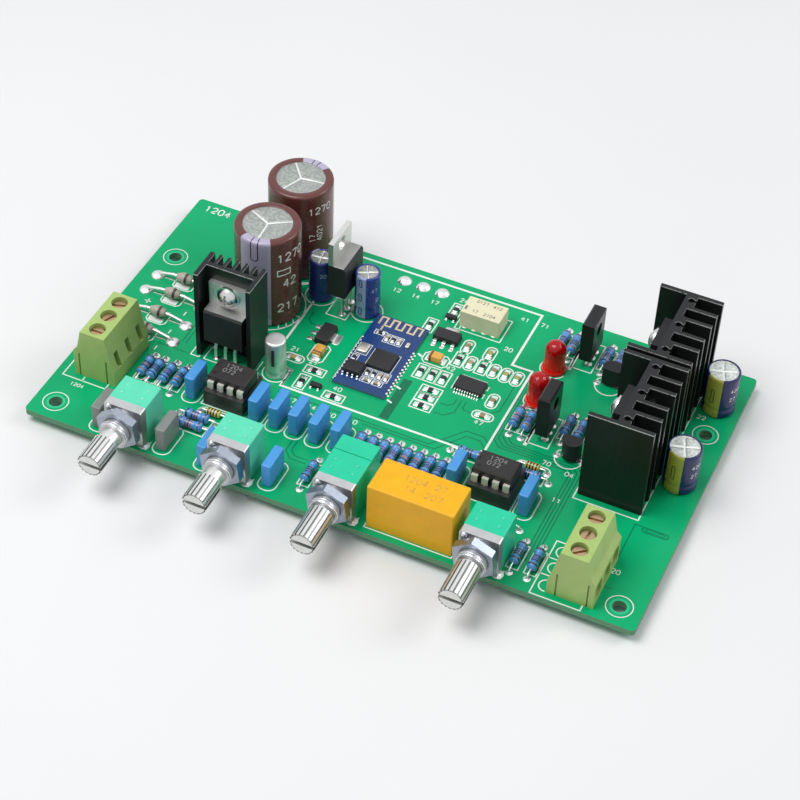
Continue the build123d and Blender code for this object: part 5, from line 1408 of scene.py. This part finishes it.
# %% Rivets on the plates and studs on the housings
POT_TOP, STUD_SIDE, STUD_ROWS, PLATE_INSIDE = 10.9, 2.6, (5.55, 8.15), 0.95
upright = turned(dome(0.75, 0.6, 6), 20)
x, y, z = upright.points.T
rivet = Shape(np.stack([x, PLATE_INSIDE - z, y], -1), upright.tables)
rivets = [placed(rivet, [(x - 3.6, 0, POT_AXIS + 3.6), (x + 3.7, 0, POT_AXIS - 3.5)]) for x in pots]
piece("plate_rivets", rivets, nickel_thread)
stud = turned(dome(0.5, 0.22, 5), 16)
# painted highlight: each stud's colour is a little lighter than its housing's
for name, chosen, slot, colour in (("mint_studs", pots[:2], "pot_mint", (0.16, 0.70, 0.50)),
                                   ("green_studs", pots[2:], "pot_green", (0.03, 0.60, 0.38))):
    places = [(x + side, y, POT_TOP) for x in chosen for side in (-STUD_SIDE, STUD_SIDE) for y in STUD_ROWS]
    piece(name, [placed(stud, places)], moulded(name, colour, 0.2))

# %% [markdown]
# ## Light and floor
# A plain studio: a pale floor under the longest leads, one large soft lamp from the upper left, a weaker
# one from the right, and an even pale sky. White surfaces should come out just below full white.

# %% Stage
FLOOR_HALF, FLOOR_GAP = 1.5, 0.0001
SKY_LIGHT, SKY_SEEN = 0.40, 0.95


def pale_floor():
    f = Finish("pale_floor")
    return f.done(f.mix(f.noise(f.at(), 0.01, 3.0), (0.76, 0.76, 0.76), (0.80, 0.80, 0.80)), 0.9)


floor_mesh = bpy.data.meshes.new("floor")
corners = [(x * FLOOR_HALF, y * FLOOR_HALF, cad_low.z - FLOOR_GAP)
           for x, y in ((-1, -1), (1, -1), (1, 1), (-1, 1))]
floor_mesh.from_pydata(corners, [], [(0, 1, 2, 3)])
floor_mesh.materials.append(pale_floor())
floor = bpy.data.objects.new("floor", floor_mesh)
bpy.context.scene.collection.objects.link(floor)


def soft_lamp(name, place, size, power):
    """A square lamp that points at the board."""
    lamp = bpy.data.lights.new(name, "AREA")
    lamp.size = size
    lamp.energy = power
    holder = bpy.data.objects.new(name, lamp)
    aim = Vector((0, 0, 0.01)) - Vector(place)
    holder.matrix_world = Matrix.Translation(place) @ aim.to_track_quat("-Z", "Y").to_matrix().to_4x4()
    bpy.context.scene.collection.objects.link(holder)


soft_lamp("key_lamp", (-0.25, -0.15, 0.70), 0.45, 4.2)
soft_lamp("side_lamp", (0.55, 0.35, 0.55), 0.40, 2.2)
world = bpy.data.worlds.new("studio")
bpy.context.scene.world = world
world.use_nodes = True
tree = world.node_tree
sky = tree.nodes["Background"]
sky.inputs["Color"].default_value = (0.95, 0.97, 1.0, 1.0)
rays = tree.nodes.new("ShaderNodeLightPath")
seen = rays.outputs["Is Camera Ray"]
for kind in ("Is Glossy Ray", "Is Transmission Ray"):
    either = tree.nodes.new("ShaderNodeMath")
    either.operation = "MAXIMUM"
    tree.links.new(seen, either.inputs[0])
    tree.links.new(rays.outputs[kind], either.inputs[1])
    seen = either.outputs[0]
strength = tree.nodes.new("ShaderNodeMapRange")
strength.inputs["To Min"].default_value = SKY_LIGHT
strength.inputs["To Max"].default_value = SKY_SEEN
tree.links.new(seen, strength.inputs["Value"])
tree.links.new(strength.outputs[0], sky.inputs["Strength"])
print("stage set")
